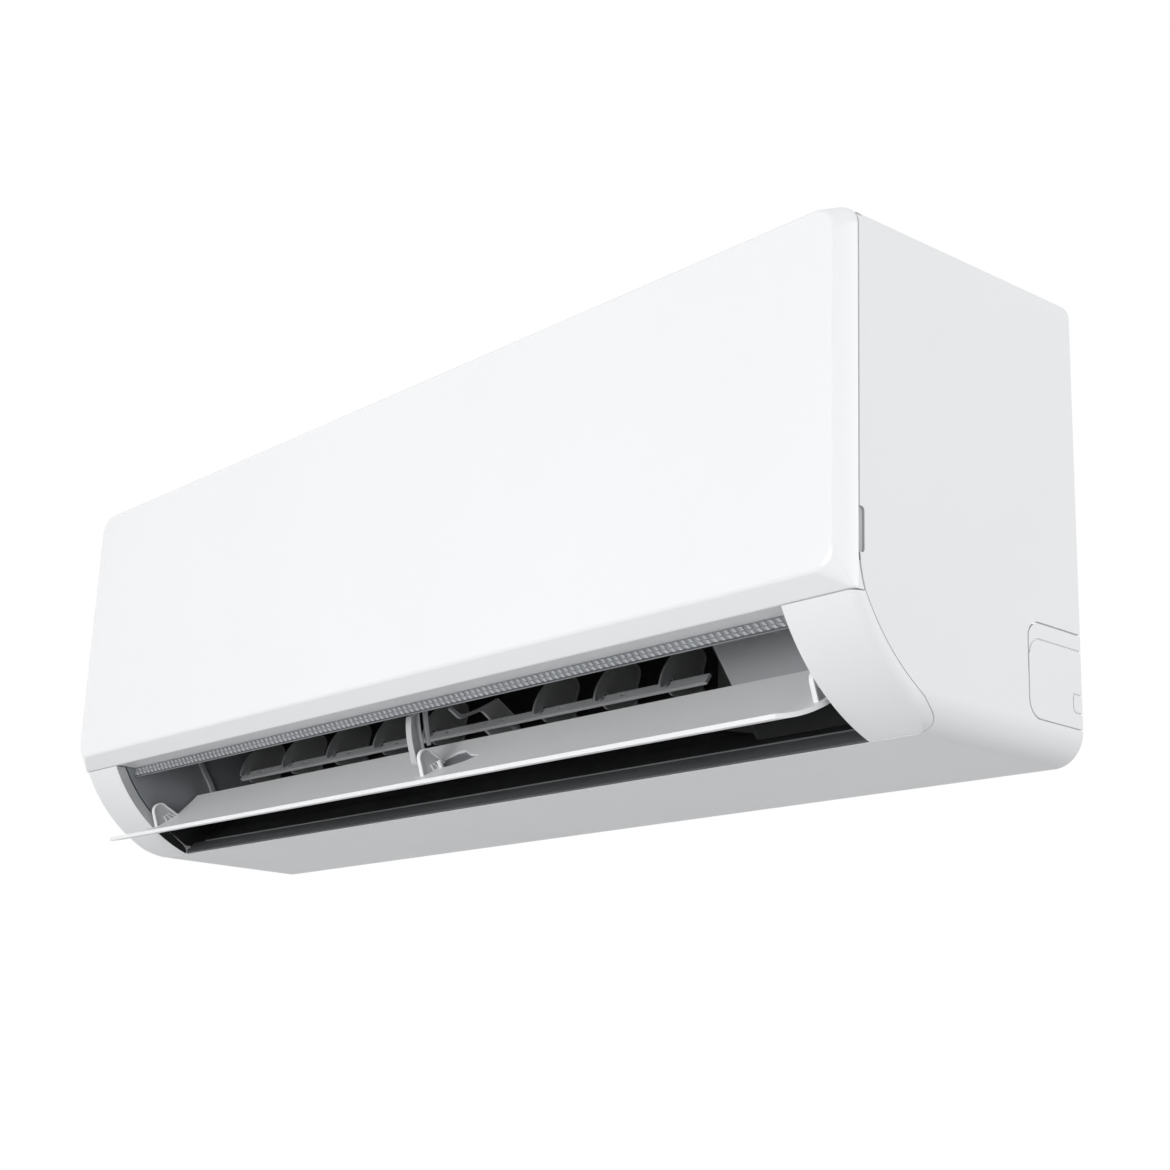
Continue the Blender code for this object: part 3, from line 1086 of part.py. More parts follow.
def make_pipe_clamp():
    right = PIPE_CLAMP_X + PIPE_CLAMP_WIDTH
    clamp = box("pipe_clamp", (PIPE_CLAMP_X, LIQUID_Y - 0.009, SHELL_WALL + TOUCH_GAP),
                (right, GAS_Y + 0.010, GAS_Z + 0.011), "light_grey")
    for y, z, radius in ((GAS_Y, GAS_Z, GAS_RADIUS), (LIQUID_Y, LIQUID_Z, LIQUID_RADIUS)):
        cut(clamp, rod("clamp_bore", (PIPE_CLAMP_X - 0.01, y, z), (right + 0.01, y, z), radius + TOUCH_GAP, sides=16))
    return clamp


# Filters: bent frames that lift straight up out of the top

def make_filter(name, side):
    bend = (-FILTER_DEPTH + FILTER_BEND, PANEL_TOP - 0.0112)
    line = ([(TRAY_BACK - 0.0035, PANEL_TOP - 0.0005), (bend[0] + 0.0025, PANEL_TOP - 0.00315)]
            + arc(bend, FILTER_BEND, 100, 180, 4) + [(-FILTER_DEPTH, FILTER_BOTTOM)])
    near, far = FILTER_MIDDLE, FILTER_HALF
    start, end = sorted((side * near, side * far))
    frame = bent_sheet(name, line, start, end, FILTER_THICK, "filter_mesh", side=0)
    columns = 5
    pitch = (far - near) / columns
    rail = 0.004
    for column in range(columns):
        left = near + pitch * column + rail
        right = near + pitch * (column + 1) - rail
        low_x, high_x = sorted((side * left, side * right))
        for low, high in ((0.104, 0.156), (0.164, 0.210), (0.218, 0.264)):
            cut(frame, box("filter_window", (low_x, -FILTER_DEPTH - 0.01, low * TALL),
                           (high_x, -FILTER_DEPTH - 0.0004, high * TALL)))
    return frame


# Electrical box, boards and the emergency button

def make_electrics():
    low = (BOX_LEFT, -BOX_DEPTH, BOX_BOTTOM)
    high = (BOX_RIGHT, BACK_WALL_Y - TOUCH_GAP, BOX_TOP)
    shell = box("electrical_box", low, high, "charcoal")
    cut(shell, box("box_hollow", (low[0] + BOX_WALL, low[1] - 0.01, low[2] + BOX_WALL),
                   (high[0] - BOX_WALL, high[1] - BOX_WALL, high[2] - BOX_WALL)))
    cover_front = -BOX_DEPTH - TOUCH_GAP - 0.002
    cover = box("box_cover", (low[0], cover_front, low[2]), (high[0], -BOX_DEPTH - TOUCH_GAP, high[2]), "light_grey")
    button_back = -BOX_DEPTH + 0.008
    cut(cover, rod("button_hole", (BUTTON_X, cover_front - 0.01, BUTTON_Z), (BUTTON_X, button_back, BUTTON_Z),
                   BUTTON_RADIUS + SHAFT_GAP, sides=20))
    board_left = low[0] + BOX_WALL + TOUCH_GAP
    box("control_board", (board_left, -BOX_DEPTH + 0.060, low[2] + 0.012),
        (board_left + BOARD_THICK, high[1] - 0.0169, high[2] - 0.012), "board_green")
    block_top = low[2] + 0.018
    block_left, block_front = BOX_LEFT + 0.023, -BOX_DEPTH + 0.006
    block = box("terminal_block", (block_left, block_front, low[2] + BOX_WALL + TOUCH_GAP),
                (block_left + 0.040, block_front + 0.024, block_top), "charcoal")
    for number in range(4):
        across = block_left + 0.005 + number * 0.010
        cut(block, rod("terminal_hole", (across, block_front + 0.012, block_top - 0.008),
                       (across, block_front + 0.012, block_top + 0.01), 0.0028, sides=10))
    button = rod("emergency_button", (BUTTON_X, cover_front - 0.0025, BUTTON_Z), (BUTTON_X, button_back, BUTTON_Z),
                 BUTTON_RADIUS, "light_grey", sides=20)
    set_origin(button, (BUTTON_X, cover_front, BUTTON_Z))


def make_display_board():
    front = -UNIT_DEPTH + PANEL_WALL + TOUCH_GAP
    left, top = DISPLAY_RIGHT - DISPLAY_WIDTH, DISPLAY_BOTTOM + DISPLAY_HEIGHT
    board = box("display_board", (left, front, DISPLAY_BOTTOM), (DISPLAY_RIGHT, front + BOARD_THICK, top), "board_green")
    join(board, box("display_cells", (left + 0.008, front + 0.001, DISPLAY_BOTTOM + 0.006),
                    (DISPLAY_RIGHT - 0.006, front + 0.006, top - 0.006)))
    freeze(board)
    return set_origin(board, (0, PANEL_PIVOT_Y, PANEL_PIVOT_Z))


# Wall plate

def make_wall_plate():
    outline = rounded(-WALL_PLATE_HALF, WALL_PLATE_HALF, WALL_PLATE_BOTTOM, WALL_PLATE_TOP, 0.010, 0.010, 3)
    plate = flat("wall_plate", [outline], "y", -WALL_PLATE_THICK, 0.0, "galvanised")
    for left in (-0.290 * WIDE, 0.110 * WIDE):
        right = left + 0.180 * WIDE
        for bottom, top in ((0.060 * TALL, 0.110 * TALL), (0.180 * TALL, 0.226 * TALL)):
            cut(plate, flat("plate_window", [rounded(left, right, bottom, top, 0.008, 0.008, 2)], "y", -0.01, 0.01))
    for across in (-0.25 * WIDE, -0.08 * WIDE, 0.08 * WIDE, 0.25 * WIDE):
        for height in (WALL_PLATE_BOTTOM + 0.012, WALL_PLATE_TOP - 0.010):
            cut(plate, rod("screw_hole", (across, -0.01, height), (across, 0.01, height), 0.0028, sides=8))
    # Hooks that the chassis hangs on, and a stiffening flange along the bottom
    hook_out = BACK_WALL_Y - 0.0054
    for across in (-HOOK_X, HOOK_X):
        hook = bent_sheet("plate_hook", [(-0.0006, HOOK_Z), (hook_out, HOOK_Z), (hook_out, HOOK_Z + HOOK_RISE)],
                          across - HOOK_HALF, across + HOOK_HALF, WALL_PLATE_THICK)
        join(plate, hook)
    flange_z = WALL_PLATE_BOTTOM + WALL_PLATE_THICK / 2
    join(plate, bent_sheet("plate_flange", [(-0.0006, flange_z), (-0.0100, flange_z)], -WALL_PLATE_HALF + 0.020,
                           WALL_PLATE_HALF - 0.020, WALL_PLATE_THICK))
    return plate


make_front_casing()
make_intake_grille()
make_pipe_cover("pipe_cover_left", -1)
make_pipe_cover("pipe_cover_right", 1)
make_end_cap("end_cap_left", -1)
make_end_cap("end_cap_right", 1)
make_front_panel()
make_display_board()
make_rear_chassis()
make_outlet_lip()
make_drain_pan()
make_duct_side_left()
make_duct_side_right()
make_partition()
make_louver()
make_louver_shaft()
make_louver_motor()
make_centre_bracket()
vane_number = 0
for place_number in range(VANE_COUNT):
    vane_x = VANE_FIRST_X + VANE_PITCH * place_number
    if place_number == CRANK_PLACE:
        make_swing_crank(vane_x)
        make_vane_link(vane_x)
        make_swing_motor(vane_x)
    else:
        vane_number += 1
        make_vane(vane_number, vane_x)
make_fan_wheel()
make_fan_shafts()
make_fan_bearing()
make_fan_motor()
make_motor_clamp()
make_coils()
make_pipes()
make_pipe_clamp()
make_filter("filter_left", -1)
make_filter("filter_right", 1)
make_electrics()
make_wall_plate()
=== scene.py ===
# Wall-mounted air conditioner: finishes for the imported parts, and finer pieces that stand for plain solids.
# Metres, the wall plate's back face at y = 0; heights are given from the unit's underside.
import json
from math import cos, pi, radians, sin, sqrt

import bmesh
import bpy
from mathutils import Matrix, Vector


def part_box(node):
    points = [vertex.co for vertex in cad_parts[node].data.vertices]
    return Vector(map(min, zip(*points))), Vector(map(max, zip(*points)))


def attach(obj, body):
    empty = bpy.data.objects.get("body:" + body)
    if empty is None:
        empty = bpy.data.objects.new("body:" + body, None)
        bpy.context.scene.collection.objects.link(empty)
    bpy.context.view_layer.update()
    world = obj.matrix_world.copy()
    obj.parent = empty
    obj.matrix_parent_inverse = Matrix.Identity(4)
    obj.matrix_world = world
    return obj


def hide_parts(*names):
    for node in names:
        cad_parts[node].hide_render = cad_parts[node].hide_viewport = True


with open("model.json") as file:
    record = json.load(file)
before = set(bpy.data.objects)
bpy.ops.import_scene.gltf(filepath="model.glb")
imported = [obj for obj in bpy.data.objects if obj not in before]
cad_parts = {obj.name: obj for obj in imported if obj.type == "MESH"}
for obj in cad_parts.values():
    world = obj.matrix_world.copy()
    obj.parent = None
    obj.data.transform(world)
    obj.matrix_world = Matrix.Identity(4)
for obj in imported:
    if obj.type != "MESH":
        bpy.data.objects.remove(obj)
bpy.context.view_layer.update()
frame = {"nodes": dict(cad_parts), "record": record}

nodes = frame["nodes"]

unit = {
    "underside": -0.15,         # below the middle of the wall plate
    "half": 0.4225,
    "height": 0.289,
    "depth": 0.209,
    "outletHalf": 0.37,
    "curveCentre": (-0.084135, 0.120047),
    "curveRadius": 0.127,
    "curveStart": 206.289,      # panel's lower edge, degrees about the curve's centre
    "curveEnd": 250.274,        # front of the underside
}
lift = unit["underside"]


# small helpers, each one a few clicks

def deselectAll():
    if bpy.context.mode != 'OBJECT':
        bpy.ops.object.mode_set(mode='OBJECT')
    bpy.ops.object.select_all(action='DESELECT')


def takeUp(piece):
    # makes one piece the only selected and active one
    deselectAll()
    piece.select_set(True)
    bpy.context.view_layer.objects.active = piece


def edit(piece):
    takeUp(piece)
    bpy.ops.object.mode_set(mode='EDIT')


def editAll(piece):
    edit(piece)
    bpy.ops.mesh.select_all(action='SELECT')


def leaveEdit():
    bpy.ops.object.mode_set(mode='OBJECT')


def pull(way):
    bpy.ops.mesh.extrude_region_move(TRANSFORM_OT_translate={"value": way})


def span(side, inner, outer):
    # left and right end of a stretch on one side of the middle
    return sorted((side * inner, side * outer))


def pieceName(node):
    first, *others = node.split("_")
    return first + "".join(word.capitalize() for word in others)


def settlePlace(piece):
    takeUp(piece)
    bpy.ops.object.transform_apply(location=True, rotation=True, scale=True)


def nameNew(name, scale=(1, 1, 1)):
    piece = bpy.context.object
    piece.name = name
    piece.scale = scale
    settlePlace(piece)
    return piece


def addBlock(name, low, high):
    # heights from the underside
    deselectAll()
    middle = [(a + b) / 2 for a, b in zip(low, high)]
    bpy.ops.mesh.primitive_cube_add(size=1, location=(middle[0], middle[1], middle[2] + lift))
    return nameNew(name, [b - a for a, b in zip(low, high)])


def addRound(name, start, end, radius, sides=32):
    # a cylinder between two points, heights from the underside
    start, end = Vector(start), Vector(end)
    run = end - start
    middle = (start + end) / 2 + Vector((0, 0, lift))
    deselectAll()
    bpy.ops.mesh.primitive_cylinder_add(vertices=sides, radius=radius, depth=run.length, location=middle,
                                        rotation=Vector((0, 0, 1)).rotation_difference(run).to_euler())
    return nameNew(name)


def addAxle(name, left, right, centre, radius, sides=32):
    # a cylinder that runs along the unit
    return addRound(name, (left, *centre), (right, *centre), radius, sides)


def drawLine(name, points, close=False):
    # one vertex pulled from point to point; closing it fills the outline
    points = [Vector(p) + Vector((0, 0, lift)) for p in points]
    deselectAll()
    bpy.ops.mesh.primitive_plane_add(size=0.001, location=points[0])
    piece = nameNew(name)
    edit(piece)
    bpy.ops.mesh.select_mode(type='VERT')
    bpy.ops.mesh.select_all(action='SELECT')
    bpy.ops.mesh.merge(type='CENTER')
    for here, there in zip(points, points[1:]):
        bpy.ops.mesh.extrude_vertices_move(TRANSFORM_OT_translate={"value": there - here})
    if close:
        bpy.ops.mesh.select_all(action='SELECT')
        bpy.ops.mesh.edge_face_add()
    leaveEdit()
    return piece


def across(x, points):
    # section points (y, height) at a place along the unit
    return [(x, y, z) for y, z in points]


def pushOut(piece, way):
    # extrudes everything that the piece has so far
    editAll(piece)
    pull(way)
    leaveEdit()
    return piece


def turnOutwards(piece):
    editAll(piece)
    bpy.ops.mesh.remove_doubles(threshold=0.00001)
    bpy.ops.mesh.normals_make_consistent(inside=False)
    leaveEdit()
    return piece


def fillShape(name, points, way):
    # a closed outline, filled and pushed out
    return turnOutwards(pushOut(drawLine(name, points, close=True), way))


def addPlate(name, x, outline, thick):
    # a flat outline (y, height) with a thickness along the unit
    return fillShape(name, across(x, outline), (thick, 0, 0))


def addSidePlate(name, side, inner, outer, outline):
    left, right = span(side, inner, outer)
    return addPlate(name, left, outline, right - left)


def pickParts(piece, kind, test):
    bpy.ops.mesh.select_mode(type=kind)
    bpy.ops.mesh.select_all(action='DESELECT')
    shape = bmesh.from_edit_mesh(piece.data)
    for part in {'FACE': shape.faces, 'EDGE': shape.edges, 'VERT': shape.verts}[kind]:
        part.select_set(test(part))
    if kind == 'VERT':
        shape.select_flush(True)
    bmesh.update_edit_mesh(piece.data)


def pickFaces(piece, test):
    pickParts(piece, 'FACE', lambda face: test(face.calc_center_median(), face.normal))


def pickPoints(piece, test):
    pickParts(piece, 'VERT', lambda point: test(point.co))


def roundEdges(piece, offset, segments, test):
    pickParts(piece, 'EDGE', lambda line: test(line.verts[0].co, line.verts[1].co))
    bpy.ops.mesh.bevel(offset=offset, segments=segments)


def cutChosen(place, way=(0, 0, 1)):
    # new edges where the chosen faces cross a plane
    bpy.ops.mesh.bisect(plane_co=place, plane_no=way)
    leaveEdit()


def useModifier(piece, kind, **values):
    takeUp(piece)
    modifier = piece.modifiers.new(kind.lower(), kind)
    for key, value in values.items():
        setattr(modifier, key, value)
    bpy.ops.object.modifier_apply(modifier=modifier.name)
    return piece


def thicken(piece, wall, offset=-1.0):
    return useModifier(piece, 'SOLIDIFY', thickness=wall, offset=offset, use_even_offset=True)


def repeatAlong(piece, count, step):
    return useModifier(piece, 'ARRAY', count=count, use_relative_offset=False, use_constant_offset=True,
                       constant_offset_displace=step)


def carve(piece, cutter, operation='DIFFERENCE'):
    useModifier(piece, 'BOOLEAN', operation=operation, object=cutter, solver='EXACT')
    bpy.data.objects.remove(cutter, do_unlink=True)
    return piece


def bore(piece, left, right, centre, radius, sides=32):
    return carve(piece, addAxle("bore", left, right, centre, radius, sides))


def merge(piece, *others):
    takeUp(piece)
    for other in others:
        other.select_set(True)
    bpy.ops.object.join()
    return piece


def soften(piece, width=0.0004, segments=2, angle=35):
    if width:
        useModifier(piece, 'BEVEL', width=width, segments=segments, limit_method='ANGLE',
                    angle_limit=radians(angle), use_clamp_overlap=True)
    takeUp(piece)
    bpy.ops.object.shade_smooth_by_angle(angle=radians(38))
    return useModifier(piece, 'WEIGHTED_NORMAL', keep_sharp=True, weight=60)


def copyOf(piece, name, shift):
    twin = piece.copy()
    twin.data = piece.data.copy()
    twin.name = name
    bpy.context.collection.objects.link(twin)
    twin.data.transform(Matrix.Translation(shift))
    return twin


def tracedFrom(node, name, width, angle):
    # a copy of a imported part, its loose triangles merged and its edges softened
    piece = bpy.data.objects.new(name, nodes[node].data.copy())
    bpy.context.scene.collection.objects.link(piece)
    piece.data.materials.clear()
    editAll(piece)
    bpy.ops.mesh.remove_doubles(threshold=0.00002)
    bpy.ops.mesh.dissolve_limited(angle_limit=radians(1.0))
    leaveEdit()
    return soften(piece, width, 2, angle)


def dress(piece, finish, body, *replaced, slot):
    # gives the finish, sets it on its body and hides the imported parts it stands for
    if finish:
        piece.data.materials.clear()
        piece.data.materials.append(paint[finish])
    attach(piece, body)
    if replaced:
        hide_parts(*replaced)


def paintFaces(piece, finish, test):
    # a second finish on some of the faces
    piece.data.materials.append(paint[finish])
    edit(piece)
    pickFaces(piece, test)
    piece.active_material_index = len(piece.data.materials) - 1
    bpy.ops.object.material_slot_assign()
    leaveEdit()


def arcPoints(centre, radius, start, end, steps):
    turns = [radians(start + (end - start) * i / steps) for i in range(steps + 1)]
    return [(centre[0] + radius * cos(t), centre[1] + radius * sin(t)) for t in turns]


def onCurve(radius, angle):
    centre = unit["curveCentre"]
    return (centre[0] + radius * cos(radians(angle)), centre[1] + radius * sin(radians(angle)))


def smoothLine(points, steps=4):
    # a smooth line through the points, its ends kept
    ends = [points[0]] + list(points) + [points[-1]]
    line = []
    for a, b, c, d in zip(ends, ends[1:], ends[2:], ends[3:]):
        for i in range(steps):
            t = i / steps
            line.append(tuple(0.5 * (2 * q + (r - p) * t + (2 * p - 5 * q + 4 * r - s) * t * t
                                     + (3 * q - p - 3 * r + s) * t ** 3) for p, q, r, s in zip(a, b, c, d)))
    return line + [tuple(points[-1])]


def drawSheet(name, line, left, right, wall):
    # a bent sheet that runs along the unit
    return thicken(pushOut(drawLine(name, across(left, line)), (right - left, 0, 0)), wall, 0.0)


# camera, lights and floor

view = {
    "place": (1.06667, -0.93532, -0.36779),
    "yaw": 49.35, "pitch": 15.962, "roll": 2.142,
    "lens": 59.93, "sensor": 36.0,
}
yaw, pitch, roll = (radians(view[k]) for k in ("yaw", "pitch", "roll"))
ahead = Vector((-sin(yaw) * cos(pitch), cos(yaw) * cos(pitch), sin(pitch)))
level = Vector((cos(yaw), sin(yaw), 0))
upright = level.cross(ahead)
right = cos(roll) * level + sin(roll) * upright
top = -sin(roll) * level + cos(roll) * upright
deselectAll()
bpy.ops.object.camera_add(location=view["place"])
camera = bpy.context.object
camera.name = "photoCamera"
camera.rotation_euler = Matrix((right, top, -ahead)).transposed().to_euler()
camera.data.lens = view["lens"]
camera.data.sensor_width = view["sensor"]
camera.data.sensor_fit = 'HORIZONTAL'
camera.data.clip_start = 0.01
bpy.context.scene.camera = camera

lamps = {
    "keyLamp": {"place": (-0.6, -3.1, 1.1), "size": 2.0, "power": 11},
    "lowLamp": {"place": (0.3, -2.3, -0.5), "size": 1.3, "power": 28},
    "sideLamp": {"place": (2.8, 0.7, 0.6), "size": 2.0, "power": 27},
}
for lampName, lamp in lamps.items():
    bpy.ops.object.light_add(type='AREA', location=lamp["place"])
    light = bpy.context.object
    light.name = lampName
    light.data.shape = 'SQUARE'
    light.data.size = lamp["size"]
    light.data.energy = lamp["power"]
    light.rotation_euler = (Vector((0, -0.1, 0)) - Vector(lamp["place"])).to_track_quat('-Z', 'Y').to_euler()

room = {"ambient": 0.56, "floorHeight": -0.75, "floorSize": 7.0, "floorSeen": 0.95, "floorBounce": 0.62}


def sumOfRays(tree, *kinds):
    # 1 for rays of any of these kinds
    rays = tree.nodes.new("ShaderNodeLightPath")
    total = rays.outputs[kinds[0]]
    for kind in kinds[1:]:
        plus = tree.nodes.new("ShaderNodeMath")
        plus.operation = 'ADD'
        plus.use_clamp = True
        tree.links.new(total, plus.inputs[0])
        tree.links.new(rays.outputs[kind], plus.inputs[1])
        total = plus.outputs[0]
    return total


world = bpy.data.worlds.new("studio")
bpy.context.scene.world = world
world.use_nodes = True
tree = world.node_tree
tree.nodes.clear()
soft = tree.nodes.new("ShaderNodeBackground")
soft.inputs["Color"].default_value = (0.97, 0.985, 1.0, 1)
soft.inputs["Strength"].default_value = room["ambient"]
plain = tree.nodes.new("ShaderNodeBackground")
plain.inputs["Color"].default_value = (1, 1, 1, 1)
mixed = tree.nodes.new("ShaderNodeMixShader")
output = tree.nodes.new("ShaderNodeOutputWorld")
tree.links.new(sumOfRays(tree, "Is Camera Ray", "Is Glossy Ray", "Is Transmission Ray"), mixed.inputs[0])
tree.links.new(soft.outputs[0], mixed.inputs[1])
tree.links.new(plain.outputs[0], mixed.inputs[2])
tree.links.new(mixed.outputs[0], output.inputs[0])

bpy.ops.mesh.primitive_plane_add(size=room["floorSize"], location=(0, -0.4, room["floorHeight"]))
floor = nameNew("studioFloor")
floorPaint = bpy.data.materials.new("floorPaint")
floorPaint.use_nodes = True
tree = floorPaint.node_tree
shader = tree.nodes["Principled BSDF"]
shader.inputs["Roughness"].default_value = 0.9
floorMix = tree.nodes.new("ShaderNodeMix")
floorMix.data_type = 'RGBA'
floorMix.inputs[6].default_value = (room["floorBounce"],) * 3 + (1,)
floorMix.inputs[7].default_value = (room["floorSeen"],) * 3 + (1,)
tree.links.new(sumOfRays(tree, "Is Camera Ray", "Is Glossy Ray"), floorMix.inputs[0])
tree.links.new(floorMix.outputs[2], shader.inputs["Base Color"])
floor.data.materials.append(floorPaint)
bpy.context.scene.view_settings.view_transform = 'Standard'
print("camera, lamps and floor are set")


# finishes

def newFinish(name, base, second, patch, rough, grain, bump, special):
    # two colours in soft patches, uneven roughness, fine grain as bump
    finish = bpy.data.materials.new(name)
    finish.use_nodes = True
    tree = finish.node_tree
    add, link = tree.nodes.new, tree.links.new
    shader = tree.nodes["Principled BSDF"]
    shader.inputs["Metallic"].default_value = special.get("metal", 0.0)
    shader.inputs["Coat Weight"].default_value = special.get("coat", 0.0)
    shader.inputs["Coat Roughness"].default_value = 0.12
    shader.inputs["Specular IOR Level"].default_value = special.get("shine", 0.5)
    place = add("ShaderNodeTexCoord")
    stretch = add("ShaderNodeMapping")
    stretch.inputs["Scale"].default_value = special.get("stretch", (1, 1, 1))
    link(place.outputs["Object"], stretch.inputs["Vector"])

    def noise(scale, detail=3.0):
        node = add("ShaderNodeTexNoise")
        node.inputs["Scale"].default_value = scale
        node.inputs["Detail"].default_value = detail
        link(stretch.outputs["Vector"], node.inputs["Vector"])
        return node.outputs["Fac"]

    ramp = add("ShaderNodeValToRGB")
    for element, position, colour in zip(ramp.color_ramp.elements, (0.35, 0.65), (base, second)):
        element.position = position
        element.color = (*colour, 1)
    link(noise(patch), ramp.inputs["Fac"])
    link(ramp.outputs["Color"], shader.inputs["Base Color"])
    spread = add("ShaderNodeMapRange")
    spread.inputs["To Min"].default_value, spread.inputs["To Max"].default_value = rough
    link(noise(patch * 4.3), spread.inputs["Value"])
    link(spread.outputs["Result"], shader.inputs["Roughness"])
    relief = add("ShaderNodeBump")
    relief.inputs["Strength"].default_value = bump
    relief.inputs["Distance"].default_value = special.get("deep", 0.0001)
    link(noise(grain, 2.0), relief.inputs["Height"])
    link(relief.outputs["Normal"], shader.inputs["Normal"])
    return finish


finishes = {
    # two colours, size of patches, roughness, size of grain, bump, then what is special
    "panelWhite": ((0.915, 0.915, 0.92), (0.9, 0.9, 0.905), 4, (0.17, 0.24), 260, 0.03,
                   {"coat": 0.25, "shine": 0.45, "deep": 0.00005}),
    "shellWhite": ((0.88, 0.885, 0.89), (0.865, 0.87, 0.875), 5, (0.3, 0.4), 1500, 0.06,
                   {"shine": 0.4, "deep": 8e-05}),
    "louverWhite": ((0.91, 0.912, 0.915), (0.88, 0.885, 0.89), 8, (0.38, 0.5), 1400, 0.08, {}),
    "lightGrey": ((0.5, 0.51, 0.52), (0.46, 0.47, 0.48), 14, (0.42, 0.58), 1500, 0.12, {}),
    "ductGrey": ((0.27, 0.28, 0.3), (0.235, 0.245, 0.262), 10, (0.45, 0.6), 1400, 0.12, {}),
    "vaneGrey": ((0.34, 0.345, 0.35), (0.3, 0.305, 0.31), 18, (0.42, 0.56), 1500, 0.12, {}),
    "linkGrey": ((0.64, 0.645, 0.655), (0.59, 0.595, 0.605), 20, (0.38, 0.52), 1500, 0.12, {}),
    "closureGrey": ((0.43, 0.44, 0.455), (0.4, 0.41, 0.425), 10, (0.45, 0.6), 1400, 0.12, {}),
    "bracketGrey": ((0.56, 0.565, 0.575), (0.52, 0.525, 0.535), 20, (0.4, 0.54), 1500, 0.12, {}),
    "lipGrey": ((0.085, 0.087, 0.09), (0.072, 0.074, 0.077), 14, (0.42, 0.58), 1300, 0.12, {}),
    "beadGrey": ((0.16, 0.163, 0.168), (0.14, 0.143, 0.148), 14, (0.3, 0.42), 1300, 0.1, {}),
    "fanBlack": ((0.022, 0.023, 0.024), (0.017, 0.018, 0.019), 30, (0.45, 0.62), 1300, 0.12, {}),
    "boxBlack": ((0.04, 0.042, 0.045), (0.032, 0.034, 0.037), 24, (0.42, 0.6), 1200, 0.16, {}),
    "buttonGrey": ((0.62, 0.63, 0.64), (0.57, 0.58, 0.59), 60, (0.34, 0.46), 1500, 0.1, {}),
    "ductBlack": ((0.015, 0.0155, 0.0165), (0.011, 0.0115, 0.0125), 9, (0.45, 0.62), 1300, 0.12,
                  {"shine": 0.35}),
    "zincSheet": ((0.6, 0.61, 0.63), (0.5, 0.51, 0.53), 70, (0.28, 0.48), 350, 0.06,
                  {"metal": 1.0, "deep": 0.0002}),
    "finAluminium": ((0.78, 0.79, 0.8), (0.68, 0.69, 0.71), 40, (0.28, 0.42), 500, 0.05,
                     {"metal": 1.0, "deep": 0.0002}),
    "bareCopper": ((0.72, 0.36, 0.22), (0.58, 0.27, 0.16), 45, (0.22, 0.42), 700, 0.06,
                   {"metal": 1.0, "deep": 0.0002}),
    "turnedBrass": ((0.76, 0.58, 0.28), (0.66, 0.49, 0.22), 60, (0.2, 0.36), 900, 0.06,
                    {"metal": 1.0, "stretch": (4, 1, 1), "deep": 0.0002}),
    "groundSteel": ((0.62, 0.63, 0.65), (0.52, 0.53, 0.55), 60, (0.2, 0.36), 900, 0.06,
                    {"metal": 1.0, "stretch": (5, 1, 1), "deep": 0.0002}),
    "bearingRubber": ((0.028, 0.028, 0.029), (0.04, 0.04, 0.042), 50, (0.62, 0.8), 1200, 0.2,
                      {"deep": 0.0002}),
    "boardGreen": ((0.035, 0.16, 0.065), (0.028, 0.13, 0.052), 60, (0.3, 0.46), 800, 0.1, {"deep": 0.0002}),
    "filterFrame": ((0.13, 0.145, 0.16), (0.11, 0.122, 0.135), 20, (0.42, 0.58), 1300, 0.12,
                    {"deep": 0.0002}),
    "filterNet": ((0.17, 0.19, 0.205), (0.12, 0.135, 0.148), 90, (0.55, 0.75), 1600, 0.2, {"deep": 0.0002}),
}
paint = {name: newFinish(name, *look) for name, look in finishes.items()}
print("finishes are mixed:", len(paint))


# the line where the side wall meets the panel and the end cap

seam = {
    "lip": -0.1245, "band": 0.0071, "gap": 0.0009, "front": -0.1938,
    "knee": [(-0.19075, 0.069), (-0.1921, 0.074), (-0.1932, 0.0795), (-0.1938, 0.085)],
    "toe": [(-0.1262, 0.0002), (-0.1262, 0.0035), (-0.1275, 0.0058), (-0.1304, 0.0083), (-0.1364, 0.012)],
}
seamRadius = unit["curveRadius"] - seam["band"] - seam["gap"]
seamLine = (seam["toe"]
            + arcPoints(unit["curveCentre"], seamRadius, unit["curveEnd"] - 9.3, unit["curveStart"] + 1.7, 22)
            + seam["knee"] + [(seam["front"], 0.31)])

# front panel: rim, sloping band and raised plate, hung on pins at its top corners

panelSizes = {
    "half": 0.4225, "bottom": 0.0639, "top": 0.285, "rim": -0.195, "band": -0.1975, "bandHalf": 0.4217,
    "plateHalf": 0.4163, "plateBottom": 0.0737, "plateTop": 0.2815, "front": -0.209,
    "corner": 0.015, "edge": 0.002, "bandEdge": 0.0009, "wall": 0.0024, "ribWall": 0.0016,
    "cheek": -0.1899, "flangeBack": -0.1803, "pivot": (-0.192, 0.2805), "earX": 0.396, "earWidth": 0.0035,
    "ear": [(-0.1995, 0.2836), (-0.2075, 0.27), (-0.205, 0.26)],
}


